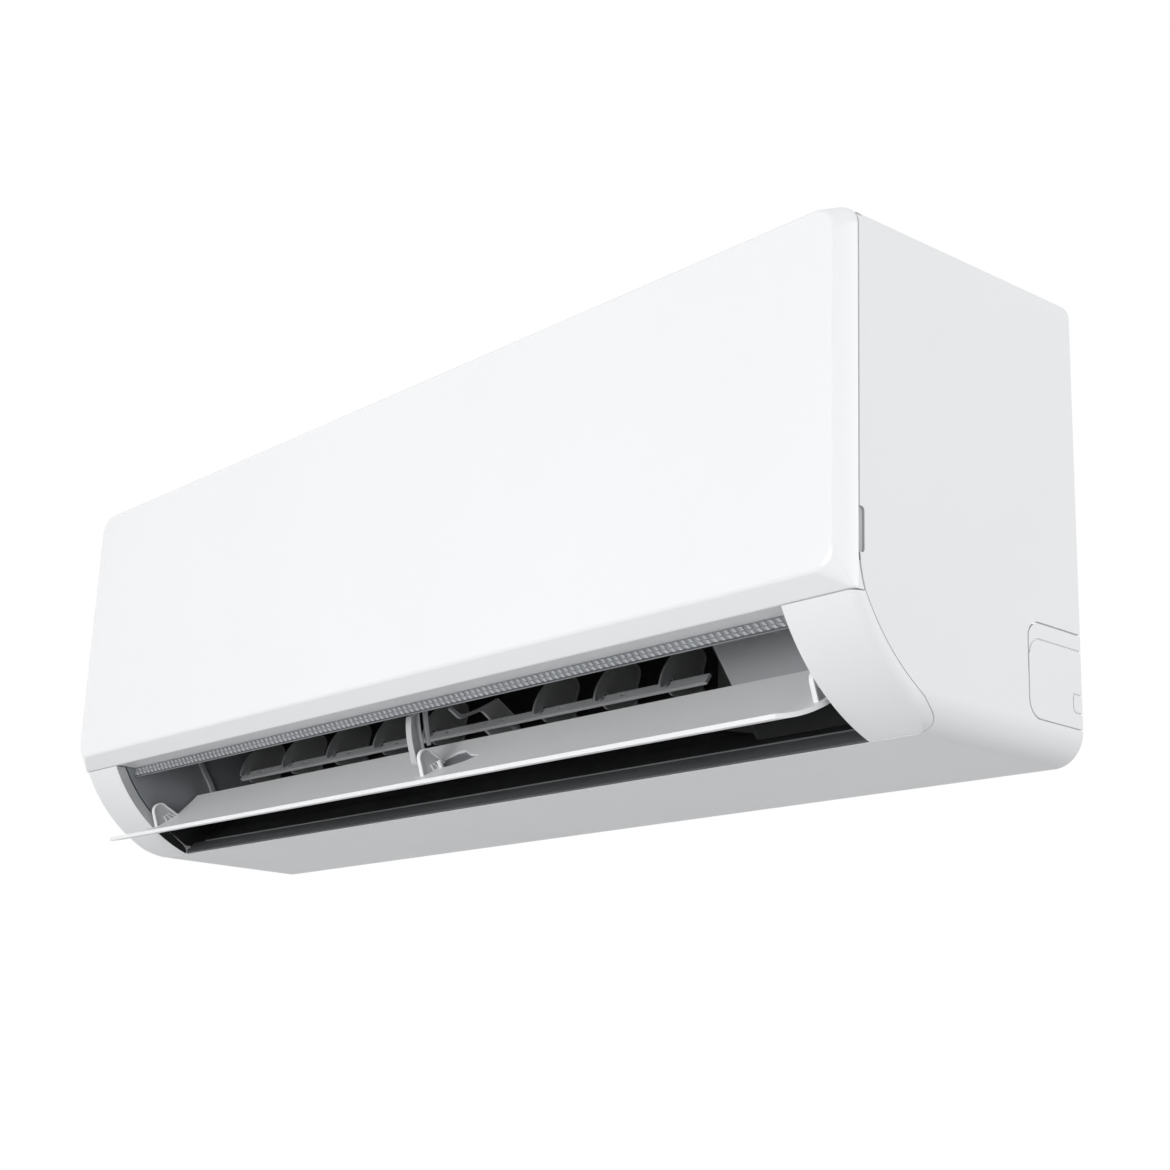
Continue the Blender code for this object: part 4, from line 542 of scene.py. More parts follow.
def makeFrontPanel(s):
    front, band, bottom, top = (s[key] for key in ("front", "band", "bottom", "top"))
    panel = addBlock("frontPanel", (-s["plateHalf"], front, s["plateBottom"]),
                     (s["plateHalf"], band, s["plateTop"]))
    edit(panel)
    roundEdges(panel, s["corner"], 16, lambda a, b: abs(a.y - b.y) > 0.005)
    # the back loop widens to the band, its lower corners almost sharp
    pickFaces(panel, lambda c, n: n.y > 0.9)
    middle = (s["plateBottom"] + s["plateTop"]) / 2
    bandMiddle = (bottom + top) / 2
    bpy.ops.transform.translate(value=(0, 0, bandMiddle - middle))
    tall = (top - bottom) / (s["plateTop"] - s["plateBottom"])
    wide = s["bandHalf"] / s["plateHalf"]
    bpy.ops.transform.resize(value=(wide, 1, tall), center_override=(0, band, bandMiddle + lift))
    for side in (-1, 1):
        for height, share in ((bottom, 0.08), (top, 0.82)):
            corner = Vector((side * s["bandHalf"], band, height + lift))
            pickPoints(panel, lambda p: p.y > band - 0.0001 and abs(p.x - corner.x) < 0.0156
                       and abs(p.z - corner.z) < 0.0165)
            bpy.ops.transform.resize(value=(share, 1, share), center_override=corner)
    pickFaces(panel, lambda c, n: n.y > 0.9)
    pull((0, s["rim"] - band, 0))
    bpy.ops.transform.resize(value=(s["half"] / s["bandHalf"], 1, 1), center_override=(0, s["rim"], 0))
    bpy.ops.mesh.delete(type='FACE')
    roundEdges(panel, s["edge"], 5, lambda a, b: max(a.y, b.y) < front + 0.0001)
    roundEdges(panel, s["bandEdge"], 3, lambda a, b: abs(a.y - band) < 0.0001 and abs(b.y - band) < 0.0001)
    leaveEdit()
    thicken(panel, s["wall"])
    soften(panel, 0.00025)
    # underside flange, stiffening ribs, hinge ears and pins
    edge = unit["outletHalf"] - 0.0006
    extras = [addBlock("flange", (-edge, s["rim"] - 0.0005, bottom + 0.0001),
                       (edge, s["flangeBack"], bottom + s["wall"]))]
    ribs = [(-0.395, height, 0.395, height + s["ribWall"]) for height in (0.12, 0.24)]
    ribs += [(place, 0.085, place + s["ribWall"], 0.27) for place in (-0.25, 0.0, 0.25)]
    back = front + s["wall"]
    for left, low, right, high in ribs:
        extras.append(addBlock("rib", (left, back - 0.0004, low), (right, back + 0.006, high)))
    pivot, earEnd = s["pivot"], s["earX"] + s["earWidth"]
    ear = arcPoints(pivot, 0.0032, -60, 90, 9) + s["ear"]
    low = bottom + 0.0001
    cheek = ([(s["rim"] - 0.0006, low), (s["cheek"], low)] + [(y - seam["gap"], z) for y, z in seam["knee"]]
             + [(s["rim"] - 0.0006, seam["knee"][-1][1])])
    for side in (-1, 1):
        extras.append(addPlate("ear", min(side * s["earX"], side * earEnd), ear, s["earWidth"]))
        extras.append(addAxle("pin", side * (earEnd - 0.001), side * (earEnd + 0.0035), pivot, 0.0015, 20))
        # the cheek fills the curve above the end cap
        extras.append(addSidePlate("cheek", side, s["half"] - s["wall"], s["half"] - 0.0003, cheek))
    for extra in extras:
        soften(extra, 0.00025)
    merge(panel, *extras)
    dress(panel, "panelWhite", "panel", "front_panel", slot="white_panel")


makeFrontPanel(panelSizes)
print("front panel is made")


# casing: a rounded tube cut along the side seam, open at the top for the grille

casingSizes = {
    "wall": 0.0024, "lowCorner": 0.02, "topCorner": 0.013, "back": -0.0005, "crown": 0.0043,
    "openHalf": 0.3932, "openBack": -0.0593, "swingBack": -0.1888, "swingLow": 0.279,
    "notch": (0.084, 0.1094, 0.0036), "notchDeep": 0.0013, "cover": (0.0205, 0.076, 0.05, 0.01),
    "coverGap": 0.001, "groove": 0.001, "grooveDrop": 0.0088, "tab": (-0.0095, 0.0085, 0.0205),
    "lug": [(-0.178, 0.2775), (-0.178, 0.2838), (-0.188, 0.2836)], "lugSpan": (0.4, 0.4035),
}


def coverOutline(s, grow=0.0):
    low, high, deep, corner = s["cover"]
    corner += grow
    return ([(0.002, low - grow), (0.002, high + grow)]
            + arcPoints((-deep - grow + corner, high + grow - corner), corner, 90, 180, 10)
            + arcPoints((-deep - grow + corner, low - grow + corner), corner, 180, 270, 10))


def makeCasing(s):
    half, height = unit["half"], unit["height"]
    casing = addBlock("casingShell", (-half, -unit["depth"], 0), (half, s["back"], height))
    edit(casing)
    roundEdges(casing, s["lowCorner"], 16, lambda a, b: abs(a.y - b.y) > 0.1 and a.z < 0)
    roundEdges(casing, s["topCorner"], 12,
               lambda a, b: abs(a.y - b.y) > 0.1 and abs(a.z - (height + lift)) < 0.0001)
    pickFaces(casing, lambda c, n: abs(n.y) > 0.9)
    bpy.ops.mesh.delete(type='ONLY_FACE')
    pickPoints(casing, lambda p: p.z > 0 and p.y < -0.1)
    bpy.ops.transform.translate(value=(0, 0, -s["crown"]))
    leaveEdit()
    thicken(casing, s["wall"])
    front = seamLine + [(-0.32, 0.31), (-0.32, -0.02), (seam["toe"][0][0], -0.02)]
    carve(casing, addPlate("seamCutter", -0.5, front, 1.0))
    for low, high in (((-unit["outletHalf"], -0.3, -0.01), (unit["outletHalf"], seam["lip"], 0.02)),
                      ((-0.5, -0.3, s["swingLow"]), (0.5, s["swingBack"], 0.32)),
                      ((-s["openHalf"], -0.3, 0.27), (s["openHalf"], s["openBack"], 0.32))):
        carve(casing, addBlock("cutter", low, high))
    low, high, deep = s["notch"]
    for side in (-1, 1):
        near, far = span(side, half - 0.004, half + 0.004)
        notch = addBlock("notchCutter", (near, -0.23, low), (far, seam["front"] + deep, high))
        edit(notch)
        roundEdges(notch, 0.0022, 5, lambda a, b: abs(a.x - b.x) > 0.004 and a.y > -0.2)
        leaveEdit()
        carve(casing, notch)
        opening = coverOutline(s, s["coverGap"])
        carve(casing, addSidePlate("pipeCutter", side, half - 0.006, half + 0.004, opening))
    soften(casing, 0.0003)
    # floors of the finger notches
    for side in (-1, 1):
        near, far = span(side, half - s["wall"] - 0.0008, half - s["notchDeep"])
        merge(casing, addBlock("notchFloor", (near, seam["front"] + 0.0006, low - 0.002),
                               (far, seam["front"] + deep + 0.003, high + 0.002)))
    # hinge lugs under the top
    pivot = panelSizes["pivot"]
    for side in (-1, 1):
        lug = addSidePlate("lug", side, *s["lugSpan"], arcPoints(pivot, 0.003, 90, 270, 10) + s["lug"])
        near, far = span(side, *s["lugSpan"])
        bore(lug, near - 0.001, far + 0.001, pivot, 0.0019, 20)
        merge(casing, soften(lug, 0.0002))
    dress(casing, "shellWhite", "unit", "front_casing", slot="white_shell")
    # the notch floors are painted light grey: painted shade in the recess
    paintFaces(casing, "lightGrey", lambda c, n: abs(abs(c.x) - half + s["notchDeep"]) < 0.0002
               and c.y < seam["front"] + deep + 0.004 and low - 0.003 < c.z - lift < high + 0.003)


def makePipeCover(s, side, node):
    # knock-out cover with a groove and the outline of a small tab
    half = unit["half"]
    outline = [(min(y, s["back"]), z) for y, z in coverOutline(s)]
    cover = addSidePlate(pieceName(node), side, half, half - s["wall"], outline)
    low, high, deep, corner = s["cover"]
    middle = (-deep + corner, high - s["grooveDrop"] - corner)
    top = middle[1] + corner
    groove = ([(0.003, top)] + arcPoints(middle, corner, 90, 180, 10)
              + arcPoints(middle, corner - s["groove"], 180, 90, 10) + [(0.003, top - s["groove"])])
    carve(cover, addSidePlate("groove", side, half - 0.001, half + 0.001, groove))
    front, foot, head = s["tab"]

    def tabOutline(inset):
        # its lower corner is the rounder one
        upper, lower = 0.0012 + inset, 0.004 - inset
        left, bottom, above = front + inset, low + foot + inset, low + head - inset
        return ([(0.003, above)] + arcPoints((left + upper, above - upper), upper, 90, 180, 4)
                + arcPoints((left + lower, bottom + lower), lower, 180, 270, 6) + [(0.003, bottom)])

    near, far = span(side, half - 0.001, half + 0.001)
    ring = addPlate("tabRing", near, tabOutline(0.0), far - near)
    carve(ring, addPlate("tabInside", near - 0.001, tabOutline(s["groove"]), far - near + 0.002))
    carve(cover, ring)
    soften(cover, 0.0003)
    dress(cover, "shellWhite", "unit", node, slot="white_shell")


makeCasing(casingSizes)
makePipeCover(casingSizes, -1, "pipe_cover_left")
makePipeCover(casingSizes, 1, "pipe_cover_right")
print("casing and pipe covers are made")


# end caps: turned on the lower curve, rounded outside, hollow inside

capSizes = {"rounding": 0.0068, "wall": 0.0024, "top": 0.0639, "gap": 0.0006, "paintedShadeBelow": 0.0168}


def casingForm(inset):
    # the casing's outer outline, swept along the depth
    edge = unit["half"] - inset
    block = addBlock("casingForm", (-edge, -0.26, inset), (edge, 0.0, unit["height"] - inset))
    edit(block)
    roundEdges(block, casingSizes["lowCorner"] - inset, 16, lambda a, b: abs(a.y - b.y) > 0.1 and a.z < 0)
    leaveEdit()
    return block


def makeEndCap(s, side, node):
    inner, outer = unit["outletHalf"], unit["half"]
    centre, radius = unit["curveCentre"], unit["curveRadius"]
    cap = addAxle(pieceName(node), side * inner, side * outer, centre, radius, 256)
    edit(cap)
    roundEdges(cap, s["rounding"], 10,
               lambda a, b: abs(abs(a.x) - outer) < 0.0001 and abs(abs(b.x) - outer) < 0.0001)
    leaveEdit()
    # the seam's line, moved back by the gap
    behind = []
    for i, (y, z) in enumerate(seamLine[:-len(seam["knee"]) - 1]):
        a = seamLine[max(i - 1, 0)]
        b = seamLine[i + 1]
        run = sqrt((b[0] - a[0]) ** 2 + (b[1] - a[1]) ** 2)
        behind.append((y - (b[1] - a[1]) / run * s["gap"], z + (b[0] - a[0]) / run * s["gap"]))
    high = s["top"] - s["gap"]
    region = [(-0.32, -0.02), (behind[0][0], -0.02)] + behind
    region += [(behind[-1][0] - 0.0006, high), (-0.32, high)]
    carve(cap, addPlate("capRegion", -0.5, region, 1.0), 'INTERSECT')
    carve(cap, casingForm(0.0), 'INTERSECT')
    hollow = addAxle("capHollow", side * (inner + s["wall"]), side * (outer - s["wall"]), centre,
                     radius - s["wall"], 192)
    carve(hollow, casingForm(s["wall"]), 'INTERSECT')
    carve(cap, hollow)
    soften(cap, 0.00035, 3, 50)
    dress(cap, "shellWhite", "unit", node, slot="white_shell")

    # the inner face is painted grey as painted shade, and black below the louver as deeper painted shade
    def onInside(c, n):
        return abs(n.x) > 0.9 and abs(abs(c.x) - inner) < 0.0003

    edit(cap)
    pickFaces(cap, onInside)
    cutChosen((0, 0, s["paintedShadeBelow"] + lift))
    paintFaces(cap, "lightGrey", lambda c, n: onInside(c, n) and s["paintedShadeBelow"] < c.z - lift)
    paintFaces(cap, "ductBlack", lambda c, n: onInside(c, n) and c.z - lift < s["paintedShadeBelow"])


makeEndCap(capSizes, -1, "end_cap_left")
makeEndCap(capSizes, 1, "end_cap_right")
print("end caps are made")


# intake grille: a shallow tray with long fine slots, the filters lie on it

grilleSizes = {
    "half": 0.3905, "wall": 0.0024, "back": -0.062, "front": -0.18, "top": 0.285,
    "fields": 12, "bar": 0.0064, "rails": 19, "railWide": 0.0022, "border": (0.01, 0.006), "drop": 0.0061,
}


def makeGrille(s):
    half, wall, back, front, top = (s[key] for key in ("half", "wall", "back", "front", "top"))
    frontBorder, backBorder = s["border"]
    line = [(back + 0.0012, top + 0.001), (back + 0.0012, top - 0.0033), (front, top - s["drop"])]
    left, right = -half - wall, half + wall
    tray = drawSheet("intakeGrille", line, left, right, wall)
    for side in (-1, 1):
        near, far = span(side, half, half + wall)
        merge(tray, addBlock("traySide", (near, front, top - 0.0066), (far, back, top - 0.0004)))
    pitch = (2 * half - s["bar"]) / s["fields"]
    window = addBlock("window", (-half + s["bar"], front + frontBorder, top - 0.02),
                      (-half + pitch, back - backBorder, top + 0.02))
    carve(tray, repeatAlong(window, s["fields"], (pitch, 0, 0)))
    soften(tray, 0.0002)
    # long rails across the windows, on the tray's slope
    step = (back - backBorder - front - frontBorder) / (s["rails"] + 1)
    slope = 0.0028 / (back - front)
    for number in range(s["rails"]):
        y = front + frontBorder + step * (number + 1)
        z = top - s["drop"] + (y - front) * slope
        merge(tray, addBlock("rail", (-half + 0.001, y - s["railWide"] / 2, z - 0.0012),
                             (half - 0.001, y + s["railWide"] / 2, z + 0.0008)))
    dress(tray, "shellWhite", "unit", "intake_grille", slot="white_shell")


makeGrille(grilleSizes)
print("intake grille is made")


# louver: a curved blade with ribbed lugs, modelled shut and then opened about its end pins

louverSizes = {
    "half": 0.367, "wall": 0.0028, "first": 1.0, "last": 1.3, "pivot": (-0.156554, 0.030972), "open": 72.5,
    "lugs": (-0.3664, -0.002, 0.3588), "socketEnd": 0.3664, "lugWide": 0.0035, "lugArc": (20.2, 30.6),
    "lugRound": 0.007, "lugTurn": (-25, 127), "lugRim": 0.0012, "lugDeep": 0.0013,
    "fingers": (25.2, 27.3, 29.3), "fingerFrom": 0.5, "fingerWall": 0.0009, "pin": 0.002, "socket": 0.0028,
    "pins": ((-0.3739, -0.365), (-0.0121, -0.001)), "boss": 0.0045, "bored": 0.0035,
    "recess": [(-0.006, 33.0), (0.002, 36.4), (0.01, 36.6), (0.024, 32.8), (0.036, 31.6), (0.027, 28.4),
               (0.014, 26.4), (0.0062, 26.4), (0.0022, 28.6)],
    "recessDeep": 0.0012, "stop": (0.005, 27.0), "stopRound": 0.0019,
}


def makeLouver(s):
    centre, outer, start = unit["curveCentre"], unit["curveRadius"], unit["curveStart"]
    inner = outer - s["wall"]
    pivot, wide, rim = s["pivot"], s["lugWide"], s["lugRim"]
    first, last = start + s["first"], unit["curveEnd"] - s["last"]
    blade = addPlate("louver", -s["half"], arcPoints(centre, outer, first, last, 44)
                     + arcPoints(centre, inner, last, first, 44), 2 * s["half"])
    # shallow recess beside the middle lug
    turn = radians(start + 31)
    outward, along = Vector((0, cos(turn), sin(turn))), Vector((0, -sin(turn), cos(turn)))
    middle = Vector((0, *centre)) + outward * (inner - 0.004)
    points = [middle + Vector((x, 0, 0)) + along * inner * radians(angle - 31) for x, angle in s["recess"]]
    carve(blade, fillShape("recess", points, outward * (0.004 + s["recessDeep"])))
    soften(blade, 0.0006, 3)
    near, far = start + s["lugArc"][0], start + s["lugArc"][1]
    turns = (*s["lugTurn"], 20)
    lugOutline = arcPoints(centre, inner + 0.0006, near, far, 8) + arcPoints(pivot, s["lugRound"], *turns)
    rimLine = ([onCurve(inner + 0.0002, far - 0.3)] + arcPoints(pivot, s["lugRound"] - rim / 2, *turns)
               + [onCurve(inner + 0.0002, near + 0.3)])
    pieces = []
    for place in s["lugs"]:
        pieces.append(soften(addPlate("lug", place, lugOutline, wide - s["lugDeep"]), 0.0002))
        pieces.append(soften(drawSheet("lugRim", rimLine, place + 0.0002, place + wide, rim), 0.0003))
        for angle in s["fingers"]:
            foot = onCurve(inner + 0.0002, start + angle)
            head = [p + (f - p) * s["fingerFrom"] for p, f in zip(pivot, foot)]
            finger = drawSheet("finger", [head, foot], place + 0.001, place + wide - 0.0002, s["fingerWall"])
            pieces.append(soften(finger, 0.0002))
    for left, right in s["pins"]:
        pieces.append(soften(addAxle("pin", left, right, pivot, s["pin"], 24), 0.0003))
    # boss with the socket for the motor's shaft
    end = s["socketEnd"]
    boss = addAxle("socketBoss", s["lugs"][2] + 0.001, end, pivot, s["boss"])
    bore(boss, end - s["bored"], end + 0.001, pivot, s["socket"])
    pieces.append(soften(boss, 0.0003))
    # small stop beside the middle lug
    place, angle = s["stop"]
    foot, head = onCurve(inner + 0.001, start + angle), onCurve(inner - 0.005, start + angle)
    pieces.append(soften(addRound("stop", (place, *foot), (place, *head), s["stopRound"], 24), 0.0006, 3))
    merge(blade, *pieces)
    editAll(blade)
    bpy.ops.transform.rotate(value=-radians(s["open"]), orient_axis='X',
                             center_override=(0, pivot[0], pivot[1] + lift))
    leaveEdit()
    dress(blade, "louverWhite", "louver", "louver", slot="light_grey")
    # lug faces and the recess are painted darker grey as painted shade
    lean = radians(-s["open"])
    y, z = centre[0] - pivot[0], centre[1] - pivot[1]
    axis = Vector((0, pivot[0] + y * cos(lean) + z * sin(lean),
                   pivot[1] - y * sin(lean) + z * cos(lean) + lift))
    insides = [place + wide - s["lugDeep"] for place in s["lugs"]]
    paintFaces(blade, "bracketGrey", lambda c, n: n.x > 0.9 and any(abs(c.x - x) < 0.0002 for x in insides))
    low, high = s["recess"][0][0] - 0.001, s["recess"][4][0] + 0.001

    def inRecess(c, n):
        arm = Vector((0, c.y, c.z)) - axis
        return (low < c.x < high and inner + 0.0006 < arm.length < outer - 0.0006
                and n.dot(arm.normalized()) < -0.7)

    paintFaces(blade, "ductGrey", inRecess)


makeLouver(louverSizes)
print("louver is made")


# drain pan: front wall of the duct; its low front is the ribbed strip over the outlet

panSizes = {
    "wall": 0.0024, "front": -0.1788, "foot": 0.0579, "top": 0.095,
    "back": [(-0.162, 0.065), (-0.1525, 0.076), (-0.1485, 0.09), (-0.146, 0.105), (-0.1445, 0.118)],
    "ribPitch": 0.0058, "ribWide": 0.0033, "ribLean": 0.0036, "ribProud": 0.001,
    "rows": ((0.0573, 0.06), (0.0605, 0.0633)),
}


def makeDrainPan(s):
    half, front, foot, proud = unit["outletHalf"], s["front"], s["foot"], s["ribProud"]
    line = [(front, s["top"]), (front, foot)] + smoothLine(s["back"])
    pan = drawSheet("drainPan", line, -half, half, s["wall"])
    soften(pan, 0.0003)
    ends = [(front - 0.0004, 0.094), (front - 0.0004, 0.0585), (-0.1618, 0.0655), (-0.1522, 0.0765),
            (-0.1482, 0.0905), (-0.1478, 0.094)]
    for side in (-1, 1):
        merge(pan, soften(addSidePlate("panEnd", side, half, half - s["wall"], ends), 0.0003))
    # two rows of slanting ribs, narrower at their tops
    face = front - s["wall"] / 2
    count = int((2 * half - 0.006) / s["ribPitch"])
    for row, (low, high) in enumerate(s["rows"]):
        left = -half + 0.003 + row * s["ribPitch"] / 2
        right = left + s["ribWide"]
        corners = [(left, face + 0.0002, high), (right, face + 0.0002, high),
                   (right + s["ribLean"], face + 0.0002, low), (left + s["ribLean"], face + 0.0002, low)]
        rib = pushOut(drawLine("rib", corners, close=True), (0, -proud - 0.0002, 0))
        edit(rib)
        pickFaces(rib, lambda c, n: c.y < face - proud + 0.0001)
        bpy.ops.transform.resize(value=(0.75, 1, 0.86))
        leaveEdit()
        turnOutwards(rib)
        merge(pan, repeatAlong(rib, count, (s["ribPitch"], 0, 0)))
    bead = (face - 0.0001, foot - 0.0004)
    merge(pan, soften(addAxle("beadLine", -half + 0.0005, half - 0.0005, bead, 0.0006, 10), 0))
    dress(pan, "closureGrey", "unit", "drain_pan", slot="light_grey")
    # the face between the ribs is painted darker grey as painted shade
    paintFaces(pan, "ductGrey", lambda c, n: n.y < -0.9 and abs(c.y - face) < 0.0003 and c.z - lift > foot)
    # the bead and the foot of the front are painted dark as a painted shadow line
    paintFaces(pan, "lipGrey", lambda c, n: abs(c.y - face) < 0.0009 and c.z - lift < foot + 0.0003)


makeDrainPan(panSizes)
print("drain pan is made")


# middle bracket: a curved channel from the strip down to the louver

bracketSizes = {
    "left": -0.0126, "wide": 0.006, "rim": 0.0011, "deep": 0.0044, "bore": 0.0024, "boss": 0.0043,
    "frontEdge": [(-0.1618, 0.034), (-0.164, 0.04), (-0.1658, 0.047), (-0.1667, 0.0535),
                  (-0.167, 0.0598)],
    "backEdge": [(-0.1605, 0.0655), (-0.159, 0.057), (-0.1566, 0.0475), (-0.1537, 0.0392)],
    "webFront": [(-0.1565, 0.07), (-0.1548, 0.06), (-0.1525, 0.05), (-0.15, 0.042)],
    "webBack": [(-0.1478, 0.043), (-0.15, 0.052), (-0.152, 0.062), (-0.153, 0.0735)],
}


def makeBracket(s):
    pivot, left, right = louverSizes["pivot"], s["left"], s["left"] + s["wide"]
    outline = (smoothLine(s["backEdge"]) + arcPoints(pivot, s["boss"], 50, -160, 20)
               + smoothLine(s["frontEdge"]))
    bracket = addPlate("centreBracket", left, outline, s["wide"])
    edit(bracket)
    pickFaces(bracket, lambda c, n: n.x > 0.9)
    bpy.ops.mesh.inset(thickness=s["rim"])
    pull((-s["deep"], 0, 0))
    leaveEdit()
    boss = addAxle("boss", left + 0.0002, right - 0.0004, pivot, 0.0034)
    for part in (bracket, boss):
        bore(part, left - 0.001, left + 0.008, pivot, s["bore"])
    soften(bracket, 0.0003)
    merge(bracket, soften(boss, 0.0003))
    # second web behind the channel
    web = smoothLine(s["webFront"]) + smoothLine(s["webBack"])
    merge(bracket, soften(addPlate("web", left + 0.003, web, 0.0024), 0.0003))
    dress(bracket, "bracketGrey", "unit", "centre_bracket", slot="light_grey")


makeBracket(bracketSizes)


# dark lower lip with its raised line

lipSizes = {
    "line": [(-0.1044, 0.0216), (-0.1116, 0.0156), (-0.1184, 0.0097), (-0.1221, 0.0062), (-0.1246, 0.0033),
             (-0.1257, 0.0008)],
    "wall": 0.002, "bead": (-0.119, 0.0104), "beadRound": 0.0008,
}


def makeLip(s):
    half = unit["outletHalf"] - 0.0003
    y, z = s["bead"]
    lip = drawSheet("outletLip", s["line"], -half, half, s["wall"])
    soften(lip, 0.0004, 3, 50)
    merge(lip, soften(addAxle("lipBead", -0.352, 0.367, s["bead"], s["beadRound"], 12), 0))
    dress(lip, "ductBlack", "unit", "outlet_lip", slot="charcoal")
    # the lip stays black behind the bead as painted shade deeper in the outlet, dark grey in front; the bead
    # is painted lighter grey as a painted highlight
    paintFaces(lip, "lipGrey", lambda c, n: c.y < -0.1192)
    paintFaces(lip, "beadGrey", lambda c, n: abs(c.y - y) < 0.0009 and abs(c.z - lift - z) < 0.0009)


makeLip(lipSizes)
print("bracket and lip are made")


# end plates of the duct

ductSizes = {
    "sheet": 0.0024, "right": 0.2185, "fan": (-0.098, 0.142), "bearing": 0.0133, "closure": -0.1125,
    "rear": [(-0.081, 0.0452), (-0.0632, 0.0696), (-0.052, 0.093), (-0.0463, 0.12), (-0.0443, 0.145),
             (-0.045, 0.165), (-0.0485, 0.183), (-0.06, 0.2)],
    "rib": [(-0.1215, 0.079), (-0.116, 0.07), (-0.1095, 0.0605), (-0.1045, 0.05)],
    "ribProud": 0.003, "ribWide": 0.0044, "paintedShadeBelow": 0.04, "paintedShadeCut": ((-0.19, 0.0045), (-0.461, 0.888)),
    "closureTop": 0.0945, "closureLow": 0.004, "closureCorner": 0.006, "edgeSlope": 0.62,
    "closureBack": [(-0.0905, 0.0361), (-0.088, 0.0945), (-0.144, 0.0945), (-0.151, 0.0745),
                    (-0.161, 0.0628), (-0.1775, 0.056)],
}
ductEdge = (arcPoints(unit["curveCentre"], seamRadius - seam["gap"], unit["curveStart"] + 2.2,
                      unit["curveEnd"] - 7.3, 24) + [(-0.1265, 0.0075), (-0.122, 0.0072), (-0.1035, 0.0238)])


def makeDuctLeft(s):
    outline = ductEdge + smoothLine(s["rear"], 3) + [(-0.14, 0.2), (-0.145, 0.124)]
    left = -unit["outletHalf"] - s["sheet"] - 0.0003
    right = left + s["sheet"]
    plate = addPlate("ductSideLeft", left, outline, s["sheet"])
    bore(plate, left - 0.001, left + 0.004, louverSizes["pivot"], 0.0024)
    bore(plate, left - 0.001, left + 0.004, s["fan"], s["bearing"], 48)
    soften(plate, 0.0003)
    rib = drawSheet("rib", smoothLine(s["rib"]), right - 0.0004, right - 0.0004 + s["ribProud"], s["ribWide"])
    merge(plate, soften(rib, 0.0006))
    # painted light and shade: the rib is painted lighter grey as a painted highlight, the plate below the
    # slanting cut black as painted shade
    cutPlace, cutWay = [Vector((0, *pair)) for pair in s["paintedShadeCut"]]
    cutPlace.z += lift
    editAll(plate)
    cutChosen(cutPlace, cutWay)
    dress(plate, "ductGrey", "unit", "duct_side_left", slot="mid_grey")
    paintFaces(plate, "closureGrey", lambda c, n: c.x > right + 0.0008)
    paintFaces(plate, "ductBlack", lambda c, n: (c - cutPlace).dot(cutWay) < 0)


def makeClosure(s):
    # the wall that shuts the right of the outlet; its left edge leans
    top, low, corner = s["closureTop"], s["closureLow"], s["closureCorner"]
    face = s["closure"] + s["sheet"] / 2
    side = unit["outletHalf"] + 0.0003 + s["sheet"] / 2
    left = s["right"] + s["sheet"] / 2
    turn = arcPoints((left + corner, face + corner), corner, 200, 270, 6)
    plan = ([(left, -0.0915), (left + 0.0005, -0.094)] + turn
            + [(side - 0.006, face), (side - 0.002, face - 0.001), (side, face - 0.005), (side, -0.196)])
    wall = drawLine("ductSideRight", [(x, y, top) for x, y in plan])
    editAll(wall)
    pull((0, 0, low - top))
    # the foot of the left edge goes further right
    pickPoints(wall, lambda p: p.z < low + lift + 0.0001 and p.x < left + 0.02 and p.y < -0.095)
    bpy.ops.transform.translate(value=((top - low) * s["edgeSlope"], 0, 0))
    leaveEdit()
    thicken(wall, s["sheet"], 0.0)
    carve(wall, addPlate("closureRegion", -0.5, ductEdge + s["closureBack"], 1.0), 'INTERSECT')
    bore(wall, side - 0.01, side + 0.01, louverSizes["pivot"], 0.0034)
    editAll(wall)
    cutChosen((0, 0, s["paintedShadeBelow"] + lift))
    soften(wall, 0.0003)
    dress(wall, "closureGrey", "unit", "duct_side_right", slot="mid_grey")
    # its lower part and the return at the left are painted black as painted shade
    paintFaces(wall, "ductBlack", lambda c, n: c.z < s["paintedShadeBelow"] + lift and c.x < side - 0.004
               or n.x < -0.35 and c.x < 0.3 and c.y > face - 0.003)


makeDuctLeft(ductSizes)
makeClosure(ductSizes)
print("duct sides are made")


# side-to-side vanes on the duct floor, the link that joins them and the fork that drives it

floorSizes = {
    "root": (-0.063, 0.068), "slope": 237.7, "first": -0.3368, "pitch": 0.0636, "places": 9, "crank": 5,
}
floorTurn = radians(floorSizes["slope"])


def onFloor(x, reach, height):
    # reach along the air's path from the pivots, height off the floor
    y, z = floorSizes["root"]
    return (x, y + reach * cos(floorTurn) + height * sin(floorTurn),
            z + reach * sin(floorTurn) - height * cos(floorTurn))


def standUp(name, x, outline, thick, rim, rimDeep):
    # a plate across the floor, both its faces sunk inside a rim
    points = [onFloor(x - thick / 2, reach, height) for reach, height in outline]
    piece = fillShape(name, points, (thick, 0, 0))
    edit(piece)
    pickFaces(piece, lambda c, n: abs(n.x) > 0.9)
    bpy.ops.mesh.inset(thickness=rim, use_individual=True)
    bpy.ops.mesh.extrude_region_shrink_fatten(TRANSFORM_OT_shrink_fatten={"value": -rimDeep})
    leaveEdit()
    return piece


def post(x, reach, low, high, radius, sides=16):
    return soften(addRound("post", onFloor(x, reach, low), onFloor(x, reach, high), radius, sides), 0.0002)


def linkPost(s, x):
    return post(x, s["reach"], s["height"] - 0.003, s["height"] + 0.0018, s["linkPin"], 12)


